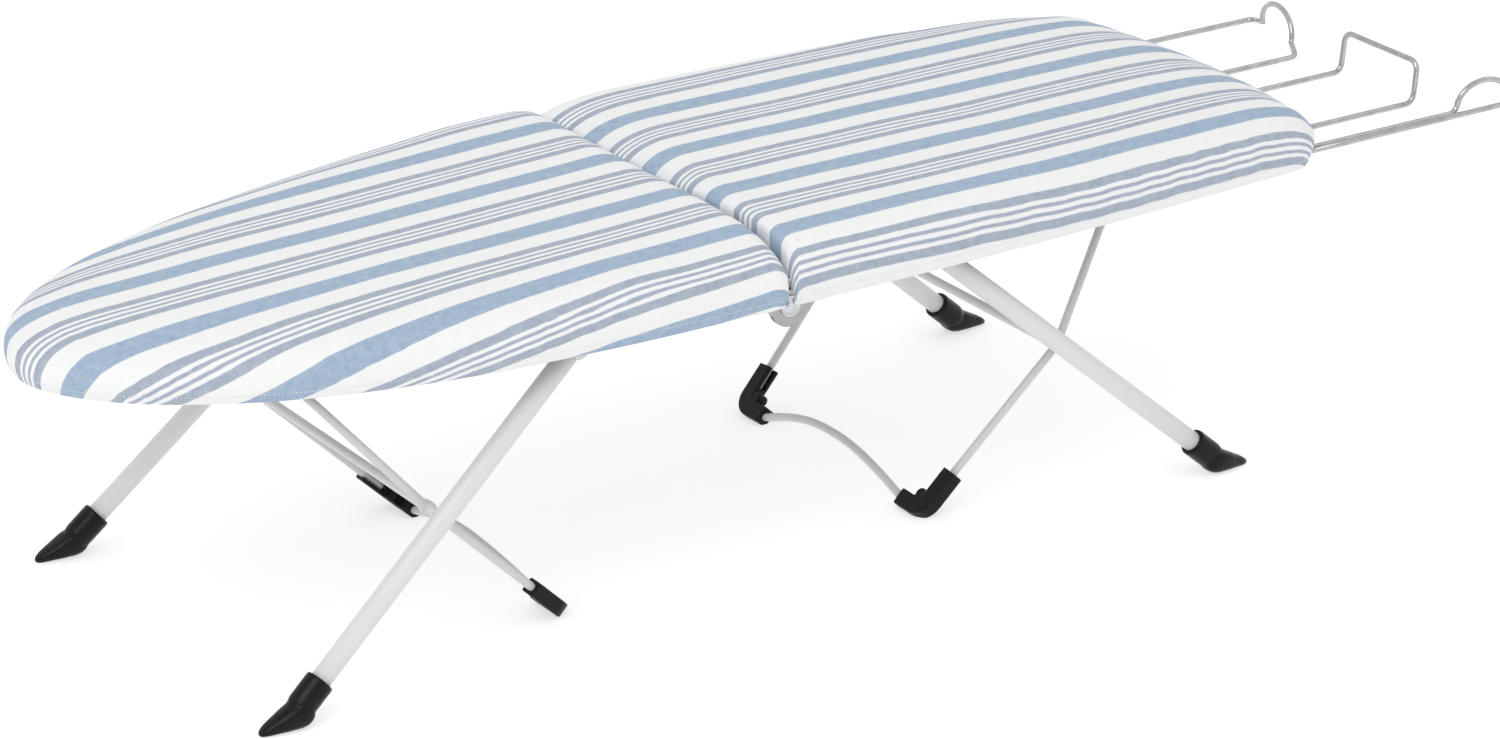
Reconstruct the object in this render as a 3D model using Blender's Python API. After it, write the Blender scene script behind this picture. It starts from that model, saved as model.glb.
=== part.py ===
"""Folding tabletop ironing board: two padded halves on crossed legs, with a pull-out iron rest.

Lengths are in metres. Geometry is drawn in a frame whose X starts at the board's hinge,
+X towards the square tail end, +Z up from the table. A root empty carries that frame so
that the world origin lies at the middle of the base.
"""
import math

import bmesh
import bpy
from mathutils import Matrix, Vector

MM = 0.001

# Gaps and sheet thicknesses
GAP = 0.3 * MM
STEEL = 1.2 * MM
FABRIC = 1.2 * MM

# Board outline, measured from the hinge to each end
NOSE_LENGTH = 454 * MM
TAIL_LENGTH = 452 * MM
HALF_WIDTH = 155 * MM
SEAM_GAP = 1.7 * MM
NOSE_STRAIGHT = 40 * MM
TAIL_STRAIGHT = 60 * MM
TAIL_END_HALF_WIDTH = 139.5 * MM
TAIL_CORNER_X = 404 * MM
TAIL_CORNER_RADIUS = 31.5 * MM
TAIL_END_BULGE = 12.5 * MM

# Heights in the board's stack
RIM_BOTTOM = 200 * MM
RIM_TOP = 216 * MM
DECK_BOTTOM = RIM_TOP + GAP
DECK_TOP = DECK_BOTTOM + STEEL
RIM_INSET = 4.7 * MM

# The cover's outer skin from its hem to its crown: (inset from the outline, height)
COVER_BULGE = 3.2 * MM
COVER_HEM = (0.5 * MM, 196.5 * MM)
COVER_SIDE = ((-2.4 * MM, 201 * MM), (-COVER_BULGE, 206 * MM), (-2.8 * MM, 210.5 * MM))
COVER_SHOULDER = ((-1.4 * MM, 214.5 * MM), (1 * MM, 218 * MM), (5 * MM, 221 * MM), (11 * MM, 223.8 * MM))
COVER_TOP = ((20 * MM, 226.4 * MM), (32 * MM, 229.6 * MM), (50 * MM, 232.2 * MM), (80 * MM, 233.8 * MM))
OFFSET_LIMIT = 20 * MM
HINGE_END_SHARPNESS = 0.45

# How far the pad swells above that profile in the middle of the board
SWELL = 8 * MM
SWELL_FLOOR = 206 * MM
SWELL_FULL = 226 * MM
TAIL_SWELL_END = 240 * MM

# Board hinge
HINGE_Z = 195 * MM
HINGE_EYE_RADIUS = 13.5 * MM
HINGE_PIN_RADIUS = 3 * MM
HINGE_HEAD_RADIUS = 7.2 * MM
HINGE_PLATE_LENGTH = 60 * MM

# Leg geometry of the tail half, measured from the hinge; the nose half mirrors it
NOSE_LEG_SHIFT = 11.5 * MM
LEG_PIVOT = Vector((131.9, 128.6, 192)) * MM
LEG_FOOT = Vector((352.5, 150, 0.8)) * MM
TUBE_RADIUS = 6.7 * MM
TUBE_WALL = 1.2 * MM
PIVOT_PIN_RADIUS = 4 * MM
CROSSING_Z = 105.3 * MM
AXLE_RADIUS = 3 * MM
BRACE_RADIUS = 2.75 * MM
BRACE_EYE_RADIUS = 6.5 * MM
BRACE_CROSSING_Y = 119 * MM
BRACE_FOOT = Vector((136.5, 105.4, 5.1)) * MM
BRACE_SHOULDER = Vector((293.3, 89.3, 179.1)) * MM
BRACE_TOP = Vector((306.5, 62, 195)) * MM
BRACE_HOOK_Y = 48 * MM
BRACE_TOP_FOLDED_X = 380.6 * MM
NOSE_BRACE_FOOT_SHIFT = Vector((-7, -3, 0)) * MM
ARCH_HEIGHT = 19.5 * MM
CLIP_RADIUS = 5.5 * MM
CLIP_ROD_ARM = 31 * MM
CLIP_ARCH_ARM = 24 * MM
LATCH_PLATE_Y = 53 * MM

# Tip of the shoe's toe on the foot of each leg tube
TOE_X = 369.5 * MM

# Iron rest
REST_Z = 201.5 * MM
REST_RADIUS = 2 * MM
REST_INNER_X = 397 * MM
REST_FAR_OUTER_Y = 111 * MM
REST_FAR_INNER_Y = 30 * MM
REST_MIDDLE_FAR_Y = -12 * MM
REST_MIDDLE_NEAR_Y = -89 * MM
REST_NEAR_INNER_Y = -120.5 * MM
REST_NEAR_OUTER_Y = -125.5 * MM
REST_LOOP_X = 553 * MM
REST_LOOP_HEIGHT = 28.5 * MM
REST_FAR_FOOT_X = 572 * MM
REST_FAR_LOOP_Y = 67.5 * MM
REST_FAR_LOOP_RADIUS = 23.5 * MM
REST_CURL_X = 587 * MM
REST_CURL_RADIUS = 21 * MM
REST_GUIDE_X = 404 * MM
REST_END = REST_CURL_X + REST_CURL_RADIUS + REST_RADIUS

# The world origin is the middle of the base
HINGE_X = (NOSE_LENGTH + COVER_BULGE - REST_END) / 2

TUBE_SIDES = 16
WIRE_SIDES = 8


# ---------------------------------------------------------------- scene and materials

for existing in list(bpy.data.objects):
    bpy.data.objects.remove(existing, do_unlink=True)


def make_material(name, colour, roughness, metallic=0.0):
    """A plain Principled material."""
    material = bpy.data.materials.new(name)
    material.use_nodes = True
    shader = material.node_tree.nodes["Principled BSDF"]
    shader.inputs["Base Color"].default_value = (*colour, 1.0)
    shader.inputs["Roughness"].default_value = roughness
    shader.inputs["Metallic"].default_value = metallic
    return material


FINISHES = {
    "cover_fabric": ((0.62, 0.69, 0.80), 0.9, 0.0),
    "foam": ((0.86, 0.82, 0.70), 0.95, 0.0),
    "white_paint": ((0.82, 0.82, 0.81), 0.35, 0.0),
    "zinc": ((0.62, 0.63, 0.64), 0.4, 0.9),
    "chrome": ((0.78, 0.78, 0.79), 0.12, 1.0),
    "black_plastic": ((0.02, 0.02, 0.02), 0.3, 0.0),
}


def make_empty(name, parent, location):
    """An empty at a point of the hinge frame, placed under its parent empty."""
    empty = bpy.data.objects.new(name, None)
    bpy.context.collection.objects.link(empty)
    empty["hinge_frame"] = tuple(location)
    empty.parent = parent
    if parent:
        empty.location = Vector(location) - Vector(parent["hinge_frame"])
    else:
        empty.location = Vector(location) + Vector((HINGE_X, 0, 0))
    return empty


def make_object(name, bm, pivot, finish=None, smooth=True):
    """Turn a bmesh drawn in the hinge frame into an object whose origin is its pivot."""
    bmesh.ops.recalc_face_normals(bm, faces=bm.faces)
    bmesh.ops.translate(bm, verts=bm.verts, vec=-Vector(pivot["hinge_frame"]))
    mesh = bpy.data.meshes.new(name)
    bm.to_mesh(mesh)
    bm.free()
    obj = bpy.data.objects.new(name, mesh)
    bpy.context.collection.objects.link(obj)
    obj.parent = pivot
    if finish:
        colour, roughness, metallic = FINISHES[finish]
        mesh.materials.append(make_material(name, colour, roughness, metallic))
        if smooth:
            mesh.shade_smooth()
            mesh.set_sharp_from_angle(angle=math.radians(38))
    else:
        obj.hide_render = True
        obj.display_type = "WIRE"
    return obj


def combine(obj, tool, operation):
    """Cut a tool out of an object, or join the tool's solid to it."""
    modifier = obj.modifiers.new(operation.title(), "BOOLEAN")
    modifier.operation = operation
    modifier.solver = "EXACT"
    modifier.object = tool


# ---------------------------------------------------------------- shape helpers

def add_loft(bm, rings, closed_rings=True):
    """Skin a list of rings with equal counts, and close both ends."""
    rows = [[bm.verts.new(point) for point in ring] for ring in rings]
    count = len(rows[0])
    for low, high in zip(rows, rows[1:]):
        for i in range(count if closed_rings else count - 1):
            j = (i + 1) % count
            bm.faces.new((low[i], low[j], high[j], high[i]))
    bm.faces.new(rows[0])
    bm.faces.new(rows[-1])
    return rows


def add_ring_solid(bm, outer_low, outer_high, inner_high, inner_low):
    """A closed band between four matching loops."""
    loops = [outer_low, outer_high, inner_high, inner_low]
    rows = [[bm.verts.new(point) for point in loop] for loop in loops]
    count = len(rows[0])
    for k, row in enumerate(rows):
        following = rows[(k + 1) % 4]
        for i in range(count):
            j = (i + 1) % count
            bm.faces.new((row[i], row[j], following[j], following[i]))


def add_prism(bm, outline, offset):
    """A flat outline pushed along an offset vector."""
    far = [Vector(point) + Vector(offset) for point in outline]
    add_loft(bm, [outline, far])


def add_box(bm, low, high):
    """An axis-aligned box between two corners."""
    size = Vector(high) - Vector(low)
    centre = (Vector(high) + Vector(low)) / 2
    matrix = Matrix.Translation(centre) @ Matrix.Diagonal((*size, 1))
    bmesh.ops.create_cube(bm, size=1, matrix=matrix)


def circle(centre, axis, radius, sides, start=0.0):
    """Points of a circle around an axis, beginning at a repeatable direction."""
    axis = Vector(axis).normalized()
    reference = Vector((0, 0, 1)) if abs(axis.z) < 0.9 else Vector((1, 0, 0))
    u = axis.cross(reference).normalized()
    v = axis.cross(u)
    points = []
    for i in range(sides):
        angle = start + 2 * math.pi * i / sides
        points.append(Vector(centre) + radius * (math.cos(angle) * u + math.sin(angle) * v))
    return points


def add_cylinder(bm, start, end, radius, sides=TUBE_SIDES):
    """A straight round bar."""
    axis = Vector(end) - Vector(start)
    add_loft(bm, [circle(start, axis, radius, sides), circle(end, axis, radius, sides)])


def add_turned(bm, start, axis, profile, sides=TUBE_SIDES):
    """A solid of revolution from (distance, radius) pairs along an axis."""
    axis = Vector(axis).normalized()
    add_loft(bm, [circle(Vector(start) + axis * d, axis, r, sides) for d, r in profile])


def round_corners(points, radius, steps):
    """Replace the inner corners of a polyline by arcs."""
    points = [Vector(point) for point in points]
    path = [points[0]]
    for before, corner, after in zip(points, points[1:], points[2:]):
        inward = (before - corner).normalized()
        outward = (after - corner).normalized()
        half_turn = inward.angle(outward) / 2
        shorter = min((before - corner).length, (after - corner).length)
        reach = min(radius / math.tan(half_turn), 0.49 * shorter)
        bend = reach * math.tan(half_turn)
        centre = corner + (inward + outward).normalized() * (bend / math.sin(half_turn))
        first = corner + inward * reach - centre
        last = corner + outward * reach - centre
        for k in range(steps + 1):
            path.append(centre + first.slerp(last, k / steps).normalized() * bend)
    path.append(points[-1])
    return path


def sweep_rings(path, radius, sides):
    """Circles along a path, carried without twist and mitred at each point."""
    path = [Vector(point) for point in path]
    tangents = []
    for i, point in enumerate(path):
        before = (point - path[i - 1]).normalized() if i else (path[1] - point).normalized()
        after = (path[i + 1] - point).normalized() if i < len(path) - 1 else before
        tangents.append((before + after).normalized())
    normal = tangents[0].orthogonal().normalized()
    rings = []
    for i, point in enumerate(path):
        if i:
            normal = tangents[i - 1].rotation_difference(tangents[i]) @ normal
        side = tangents[i].cross(normal)
        step = (path[i + 1] - point) if i < len(path) - 1 else (point - path[i - 1])
        bend = step.normalized().cross(tangents[i])
        stretch = 1 / max(0.5, step.normalized().dot(tangents[i]))
        outward = bend.cross(tangents[i])
        ring = []
        for k in range(sides):
            angle = 2 * math.pi * k / sides
            spoke = radius * (math.cos(angle) * normal + math.sin(angle) * side)
            if outward.length > 1e-6:
                across = outward.normalized()
                spoke += across * spoke.dot(across) * (stretch - 1)
            ring.append(point + spoke)
        rings.append(ring)
    return rings


def add_sweep(bm, path, radius, sides=WIRE_SIDES):
    """A round wire along a path."""
    add_loft(bm, sweep_rings(path, radius, sides))


# ---------------------------------------------------------------- board outline

def nose_half_width(x):
    """Half width of the nose half at a distance x from the hinge."""
    if x <= NOSE_STRAIGHT:
        return HALF_WIDTH
    u = min(1.0, (x - NOSE_STRAIGHT) / (NOSE_LENGTH - NOSE_STRAIGHT))
    return HALF_WIDTH * (1 - u ** 2.6) ** 0.55


def tail_half_width(x):
    """Half width of the tail half before its rounded corners."""
    u = max(0.0, (x - TAIL_STRAIGHT) / (TAIL_CORNER_X - TAIL_STRAIGHT))
    return HALF_WIDTH - (HALF_WIDTH - TAIL_END_HALF_WIDTH) * u ** 1.6


def nose_edge():
    """One side of the nose outline from the hinge to the tip, as (x, y)."""
    points = [Vector((x * NOSE_STRAIGHT, HALF_WIDTH)) for x in (0.0, 0.8)]
    span = NOSE_LENGTH - NOSE_STRAIGHT
    steps = 22
    for k in range(steps + 1):
        x = NOSE_STRAIGHT + span * math.sin(0.5 * math.pi * k / steps) ** 0.9
        points.append(Vector((x, nose_half_width(x))))
    return points


def tail_edge():
    """One side of the tail outline from the hinge to the middle of the end, as (x, y)."""
    sides = [Vector((TAIL_CORNER_X * k / 8, tail_half_width(TAIL_CORNER_X * k / 8))) for k in range(9)]
    end_y = TAIL_END_HALF_WIDTH - TAIL_CORNER_RADIUS
    end_x = TAIL_LENGTH - TAIL_END_BULGE
    steps = 7
    corner = []
    for k in range(1, steps + 1):
        angle = 0.5 * math.pi * k / steps
        x = TAIL_CORNER_X + (end_x - TAIL_CORNER_X) * math.sin(angle)
        y = end_y + (tail_half_width(TAIL_CORNER_X) - end_y) * math.cos(angle)
        corner.append(Vector((x, y)))
    arc = []
    for k in range(1, 6):
        y = end_y * (1 - k / 5)
        arc.append(Vector((TAIL_LENGTH - TAIL_END_BULGE * (y / end_y) ** 2, y)))
    return sides + corner + arc


def offset_edge(edge, inset):
    """Move an open edge inwards along its normals; its last point stays on the centre line."""
    moved = []
    for i, point in enumerate(edge):
        before = edge[max(0, i - 1)]
        after = edge[min(len(edge) - 1, i + 1)]
        along = (after - before).normalized()
        normal = Vector((along.y, -along.x))
        if i == len(edge) - 1:
            normal = Vector((-1, 0))
        if i == 0:
            normal = Vector((0, -1))
        moved.append(point + normal * inset)
    moved[-1].y = 0
    return moved


def board_outline(half, inset, z, end_inset=0.0):
    """Closed outline of a half: near corner at the hinge, round the end, far corner."""
    sign = 1 if half == "tail" else -1
    edge = tail_edge() if half == "tail" else nose_edge()
    moved = min(inset, OFFSET_LIMIT)
    edge = offset_edge(edge, moved)
    edge[0].x = SEAM_GAP + max(end_inset, moved * HINGE_END_SHARPNESS)
    if inset > OFFSET_LIMIT:
        shrink = 1 - (inset - OFFSET_LIMIT) / (HALF_WIDTH - OFFSET_LIMIT)
        middle = 0.45 * (TAIL_LENGTH if half == "tail" else NOSE_LENGTH)
        edge = [Vector((middle + (p.x - middle) * shrink, p.y * shrink)) for p in edge]
    near = [Vector((sign * p.x, -p.y, z)) for p in edge]
    far = [Vector((sign * p.x, p.y, z)) for p in reversed(edge[:-1])]
    return near + far


# ---------------------------------------------------------------- board pieces

def make_rim(half, pivot):
    """The bent steel strip round a half, open at the hinge."""
    outer = board_outline(half, RIM_INSET, RIM_BOTTOM)
    inner = board_outline(half, RIM_INSET + STEEL, RIM_BOTTOM)
    band = outer + list(reversed(inner))
    bm = bmesh.new()
    rows = []
    for z in (RIM_BOTTOM, RIM_TOP):
        rows.append([bm.verts.new((p.x, p.y, z)) for p in band])
    count = len(outer)
    total = 2 * count
    for i in range(total):
        j = (i + 1) % total
        bm.faces.new((rows[0][i], rows[0][j], rows[1][j], rows[1][i]))
    for row in rows:
        for i in range(count - 1):
            bm.faces.new((row[i], row[i + 1], row[total - 2 - i], row[total - 1 - i]))
    return make_object(half + "_rim", bm, pivot, "white_paint")


def make_hinge_rail(half, pivot):
    """The straight cross member that closes the rim beside the hinge."""
    sign = 1 if half == "tail" else -1
    reach = HALF_WIDTH - 8.5 * MM
    bm = bmesh.new()
    low_x, high_x = 5 * MM, 17 * MM
    profile = [(low_x, RIM_BOTTOM), (low_x + STEEL, RIM_BOTTOM), (low_x + STEEL, RIM_TOP - STEEL)]
    profile += [(high_x, RIM_TOP - STEEL), (high_x, RIM_TOP), (low_x, RIM_TOP)]
    outline = [Vector((sign * x, -reach, z)) for x, z in profile]
    add_prism(bm, outline, (0, 2 * reach, 0))
    return make_object(half + "_hinge_rail", bm, pivot, "white_paint")


def make_vents(half, pivot):
    """One tool with all the slots of a deck."""
    sign = 1 if half == "tail" else -1
    slot_length = 26 * MM
    slot_width = 11 * MM
    pitch_x = 44 * MM
    pitch_y = 40 * MM
    bm = bmesh.new()
    for column in range(8):
        x = 52 * MM + column * pitch_x
        width = tail_half_width(x) if half == "tail" else nose_half_width(x + slot_length)
        rows = int((width - 24 * MM) / pitch_y)
        for row in range(-rows, rows + 1):
            y = row * pitch_y
            low = (min(sign * x, sign * (x + slot_length)), y - slot_width / 2, DECK_BOTTOM - 2 * MM)
            high = (max(sign * x, sign * (x + slot_length)), y + slot_width / 2, DECK_TOP + 2 * MM)
            add_box(bm, low, high)
    return make_object(half + "_vents_tool", bm, pivot)


def make_deck(half, pivot):
    """The vented sheet that carries the pad."""
    bm = bmesh.new()
    outline = board_outline(half, RIM_INSET, DECK_BOTTOM)
    add_prism(bm, outline, (0, 0, STEEL))
    deck = make_object(half + "_deck", bm, pivot, "zinc")
    combine(deck, make_vents(half, pivot), "DIFFERENCE")
    return deck


def cover_levels(shrink):
    """(inset, height) of the cover's skin, moved inwards along its normals by shrink."""
    levels = [COVER_HEM, *COVER_SIDE, *COVER_SHOULDER, *COVER_TOP]
    moved = []
    for i, (inset, z) in enumerate(levels):
        before = levels[max(0, i - 1)]
        after = levels[min(len(levels) - 1, i + 1)]
        along = Vector((after[0] - before[0], after[1] - before[1])).normalized()
        across = Vector((along.y, -along.x)) if i else Vector((1, 0))
        moved.append((inset + shrink * across.x, z + shrink * across.y))
    return moved


def swell(half, point):
    """Lift a point of the pad or cover towards the plump middle of the board."""
    reach = abs(point.x)
    if half == "tail":
        along = 1 - max(0, (reach - TAIL_SWELL_END) / (TAIL_LENGTH - TAIL_SWELL_END)) ** 2
    else:
        along = 1 - min(1, reach / NOSE_LENGTH)
    up = min(1, max(0, (point.z - SWELL_FLOOR) / (SWELL_FULL - SWELL_FLOOR)))
    return point + Vector((0, 0, SWELL * max(0, along) * up * up * (3 - 2 * up)))


def make_hinge_notches(half, pivot):
    """One tool that opens the cover's hinge end where the hinge plates pass."""
    bm = bmesh.new()
    for side in (-1, 1):
        ends = (side * (HALF_WIDTH - 10.5 * MM), side * (HALF_WIDTH - 1.8 * MM))
        add_box(bm, (-4 * MM, min(ends), 190 * MM), (4 * MM, max(ends), 210 * MM))
    return make_object(half + "_cover_notches_tool", bm, pivot)


def make_cover(half, pivot):
    """The fitted cloth cover: a thin shell over the pad, open underneath."""
    bm = bmesh.new()
    outside = [board_outline(half, inset, z) for inset, z in cover_levels(0)]
    inside = [board_outline(half, inset, z, FABRIC) for inset, z in cover_levels(FABRIC)]
    rings = list(reversed(outside)) + inside
    add_loft(bm, [[swell(half, point) for point in ring] for ring in rings])
    cover = make_object(half + "_cover", bm, pivot, "cover_fabric")
    combine(cover, make_hinge_notches(half, pivot), "DIFFERENCE")
    return cover


def make_pad(half, pivot):
    """The foam pad between deck and cover."""
    clearance = FABRIC + 0.5 * MM
    upper = [ring for ring in cover_levels(clearance) if ring[1] > DECK_TOP + 1.5 * MM]
    rings = [(RIM_INSET + 1 * MM, DECK_TOP + GAP)] + upper
    bm = bmesh.new()
    outlines = [board_outline(half, inset, z) for inset, z in rings]
    add_loft(bm, [[swell(half, point) for point in ring] for ring in outlines])
    return make_object(half + "_pad", bm, pivot, "foam")


def arc_points(centre, radius, first, last, steps):
    """Points of an arc in the XZ plane, angles in degrees from +X towards +Z."""
    points = []
    for k in range(steps + 1):
        angle = math.radians(first + (last - first) * k / steps)
        points.append((centre[0] + radius * math.cos(angle), centre[1] + radius * math.sin(angle)))
    return points


def make_hinge_plate(half, side, pivot):
    """A side plate with the pivot eye; the nose plates run outside the rim, the tail ones inside."""
    sign = 1 if half == "tail" else -1
    face = HALF_WIDTH - (6.2 if half == "tail" else 2.9) * MM
    thickness = 1.5 * MM
    eye = arc_points((0, HINGE_Z), HINGE_EYE_RADIUS, -25, -240, 16)
    back = 6.8 * MM
    top = RIM_TOP - 3 * MM
    profile = [(back, top), (HINGE_PLATE_LENGTH, top), (HINGE_PLATE_LENGTH, 203 * MM), (24 * MM, 202 * MM)]
    profile += eye + [(back, 209 * MM)]
    bm = bmesh.new()
    outline = [Vector((sign * x, side * (face - thickness), z)) for x, z in profile]
    add_prism(bm, outline, (0, side * thickness, 0))
    name = "hinge_plate_{}_{}".format(half, "near" if side < 0 else "far")
    plate = make_object(name, bm, pivot, "zinc")
    hole = bmesh.new()
    reach = Vector((0, 6 * MM, 0))
    centre = Vector((0, side * face, HINGE_Z))
    add_cylinder(hole, centre - reach, centre + reach, HINGE_PIN_RADIUS + 0.1 * MM, 12)
    combine(plate, make_object(name + "_hole_tool", hole, pivot), "DIFFERENCE")
    return plate


def make_hinge_pin(side, pivot):
    """The rivet that the two hinge plates of one side turn on."""
    face = HALF_WIDTH - 4.4 * MM
    shank = HINGE_PIN_RADIUS
    head = HINGE_HEAD_RADIUS
    profile = [(-4.9 * MM, 5 * MM), (-3.6 * MM, 5 * MM), (-3.6 * MM, shank)]
    profile += [(1.8 * MM, shank), (1.8 * MM, head), (2.5 * MM, head - 1 * MM)]
    bm = bmesh.new()
    add_turned(bm, (0, side * face, HINGE_Z), (0, side, 0), profile)
    return make_object("hinge_pin_" + ("near" if side < 0 else "far"), bm, pivot, "zinc")


# ---------------------------------------------------------------- legs

def mirrored(point, half, side):
    """A tail-half point with positive y moved to the given half and side."""
    x, y, z = point
    if half == "nose":
        x = -(x + NOSE_LEG_SHIFT)
    return Vector((x, side * y, z))


def tube_point(z):
    """Point of the leg tube's axis at a height, on the far side of the tail half."""
    t = (z - LEG_FOOT.z) / (LEG_PIVOT.z - LEG_FOOT.z)
    return LEG_FOOT.lerp(LEG_PIVOT, t)


def make_leg(half, side, pivot):
    """A leg tube with a pivot hole at the top and a blind hole for the cross axle."""
    top = mirrored(tube_point(LEG_PIVOT.z + 6 * MM), half, side)
    bottom = mirrored(tube_point(11 * MM), half, side)
    axis = bottom - top
    bm = bmesh.new()
    loops = []
    for centre, radius in ((top, 0), (bottom, 0), (bottom, TUBE_WALL), (top, TUBE_WALL)):
        loops.append(circle(centre, axis, TUBE_RADIUS - radius, TUBE_SIDES))
    add_ring_solid(bm, *loops)
    name = "{}_leg_{}".format(half, "near" if side < 0 else "far")
    leg = make_object(name, bm, pivot, "white_paint")
    holes = bmesh.new()
    centre = mirrored(LEG_PIVOT, half, side)
    reach = Vector((0, 12 * MM, 0))
    add_cylinder(holes, centre - reach, centre + reach, PIVOT_PIN_RADIUS + 0.15 * MM, 12)
    crossing = mirrored(tube_point(CROSSING_Z), half, side)
    inner = crossing - Vector((0, side * 12 * MM, 0))
    add_cylinder(holes, inner, crossing, AXLE_RADIUS + 0.2 * MM, 12)
    combine(leg, make_object(name + "_holes_tool", holes, pivot), "DIFFERENCE")
    return leg


def shoe_section(x, width, low, high):
    """A rounded cross-section of the shoe at a distance x from the toe."""
    points = []
    sides = 12
    for k in range(sides):
        angle = 2 * math.pi * (k + 0.5) / sides
        across = math.copysign(abs(math.cos(angle)) ** 0.7, math.cos(angle))
        upward = math.copysign(abs(math.sin(angle)) ** 0.7, math.sin(angle))
        z = (low + high) / 2 + upward * (high - low) / 2
        points.append((x, width * across, low if upward < -0.92 else z))
    return points


def make_foot(half, side, pivot):
    """The plastic shoe: a collar on the tube and a flat sole with a raised toe."""
    sections = [(0.6, 2.6, 0.6, 6.4), (3, 5.2, 0.2, 9.4), (8, 7.0, 0, 11.0), (14, 8.2, 0, 10.6)]
    sections += [(20, 9.0, 0, 13.5), (28, 9.2, 0, 17.0), (33, 8.6, 1.6, 16.0), (35.6, 6.6, 4.2, 13.0)]
    toe_y = LEG_FOOT.y
    rings = []
    for x, width, low, high in sections:
        section = shoe_section(x * MM, width * MM, low * MM, high * MM)
        rings.append([mirrored((TOE_X - px, toe_y + py, pz), half, side) for px, py, pz in section])
    bm = bmesh.new()
    add_loft(bm, rings)
    name = "{}_foot_{}".format(half, "near" if side < 0 else "far")
    foot = make_object(name, bm, pivot, "black_plastic")
    collar_low = mirrored(tube_point(7.5 * MM), half, side)
    axis = (mirrored(tube_point(60 * MM), half, side) - collar_low).normalized()
    collar = bmesh.new()
    profile = [(0, 7.5), (2, 9.0), (18, 9.4), (25.4, 9.2), (26.2, 8.8)]
    add_turned(collar, collar_low, axis, [(d * MM, r * MM) for d, r in profile])
    combine(foot, make_object(name + "_collar_tool", collar, pivot), "UNION")
    bore = bmesh.new()
    start = mirrored(tube_point(11 * MM - GAP), half, side)
    add_cylinder(bore, start, start + axis * 60 * MM, TUBE_RADIUS + GAP)
    combine(foot, make_object(name + "_bore_tool", bore, pivot), "DIFFERENCE")
    floor = bmesh.new()
    centre = mirrored((TOE_X - 20 * MM, toe_y, 0), half, side)
    add_box(floor, centre - Vector((40, 20, 20)) * MM, centre + Vector((40 * MM, 20 * MM, 0)))
    combine(foot, make_object(name + "_sole_tool", floor, pivot), "DIFFERENCE")
    return foot


def make_axle(half, pivot):
    """The cross axle through both braces, with its ends inside the leg tubes."""
    crossing = tube_point(CROSSING_Z)
    reach = crossing.y - 1 * MM
    bm = bmesh.new()
    near = mirrored((crossing.x, reach, crossing.z), half, -1)
    far = mirrored((crossing.x, reach, crossing.z), half, 1)
    add_cylinder(bm, near, far, AXLE_RADIUS, 12)
    return make_object(half + "_cross_axle", bm, pivot, "white_paint")


def brace_foot(half):
    """The far floor corner of a brace, before mirroring; the nose brace stands a little wider open."""
    return BRACE_FOOT + (NOSE_BRACE_FOOT_SHIFT if half == "nose" else Vector((0, 0, 0)))


def brace_crossing():
    """Where the brace's far rod passes the cross axle, on the tail half."""
    return Vector((tube_point(CROSSING_Z).x, BRACE_CROSSING_Y, CROSSING_Z))


def arch_start(half):
    """Where the floor arch leaves the straight wire of a corner clip."""
    return brace_foot(half) - Vector((0, CLIP_ARCH_ARM - 1 * MM, 0))


def brace_path(half):
    """The whole wire of a brace, from the near hook over the floor arch to the far hook."""
    crossing = brace_crossing()
    corner = brace_foot(half)
    hook = Vector((BRACE_TOP.x, BRACE_HOOK_Y, BRACE_TOP.z))
    rod = round_corners([hook, BRACE_TOP, BRACE_SHOULDER], 5 * MM, 3)[:-1]
    rod += round_corners([rod[-1], BRACE_SHOULDER, crossing], 20 * MM, 2)[1:-1]
    rod += round_corners([BRACE_SHOULDER, crossing, corner], 20 * MM, 2)[1:-1]
    foot = round_corners([crossing, corner, arch_start(half)], 9 * MM, 5)[1:-1]
    arch = []
    arch_reach = arch_start(half).y
    for k in range(9):
        y = arch_reach * math.cos(0.5 * math.pi * k / 8)
        lift = ARCH_HEIGHT * (1 - (y / arch_reach) ** 2) ** 1.2
        arch.append(Vector((corner.x - 2 * MM * (1 - y / arch_reach), y, corner.z + lift)))
    side = rod + foot + arch
    near = [mirrored(p, half, -1) for p in side]
    far = [mirrored(p, half, 1) for p in reversed(side[:-1])]
    return near + far


def make_brace(half, pivot):
    """The bent wire brace with a flattened eye at each crossing."""
    bm = bmesh.new()
    add_sweep(bm, brace_path(half), BRACE_RADIUS)
    brace = make_object(half + "_brace_wire", bm, pivot, "white_paint")
    holes = bmesh.new()
    for side in (-1, 1):
        eye = bmesh.new()
        centre = mirrored(brace_crossing(), half, side)
        half_eye = Vector((0, 2.4 * MM, 0))
        add_cylinder(eye, centre - half_eye, centre + half_eye, BRACE_EYE_RADIUS)
        name = "{}_brace_eye_tool_{}".format(half, "near" if side < 0 else "far")
        combine(brace, make_object(name, eye, pivot), "UNION")
        add_cylinder(holes, centre - 3 * half_eye, centre + 3 * half_eye, AXLE_RADIUS + 0.3 * MM, 12)
    combine(brace, make_object(half + "_brace_holes_tool", holes, pivot), "DIFFERENCE")
    return brace


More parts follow.
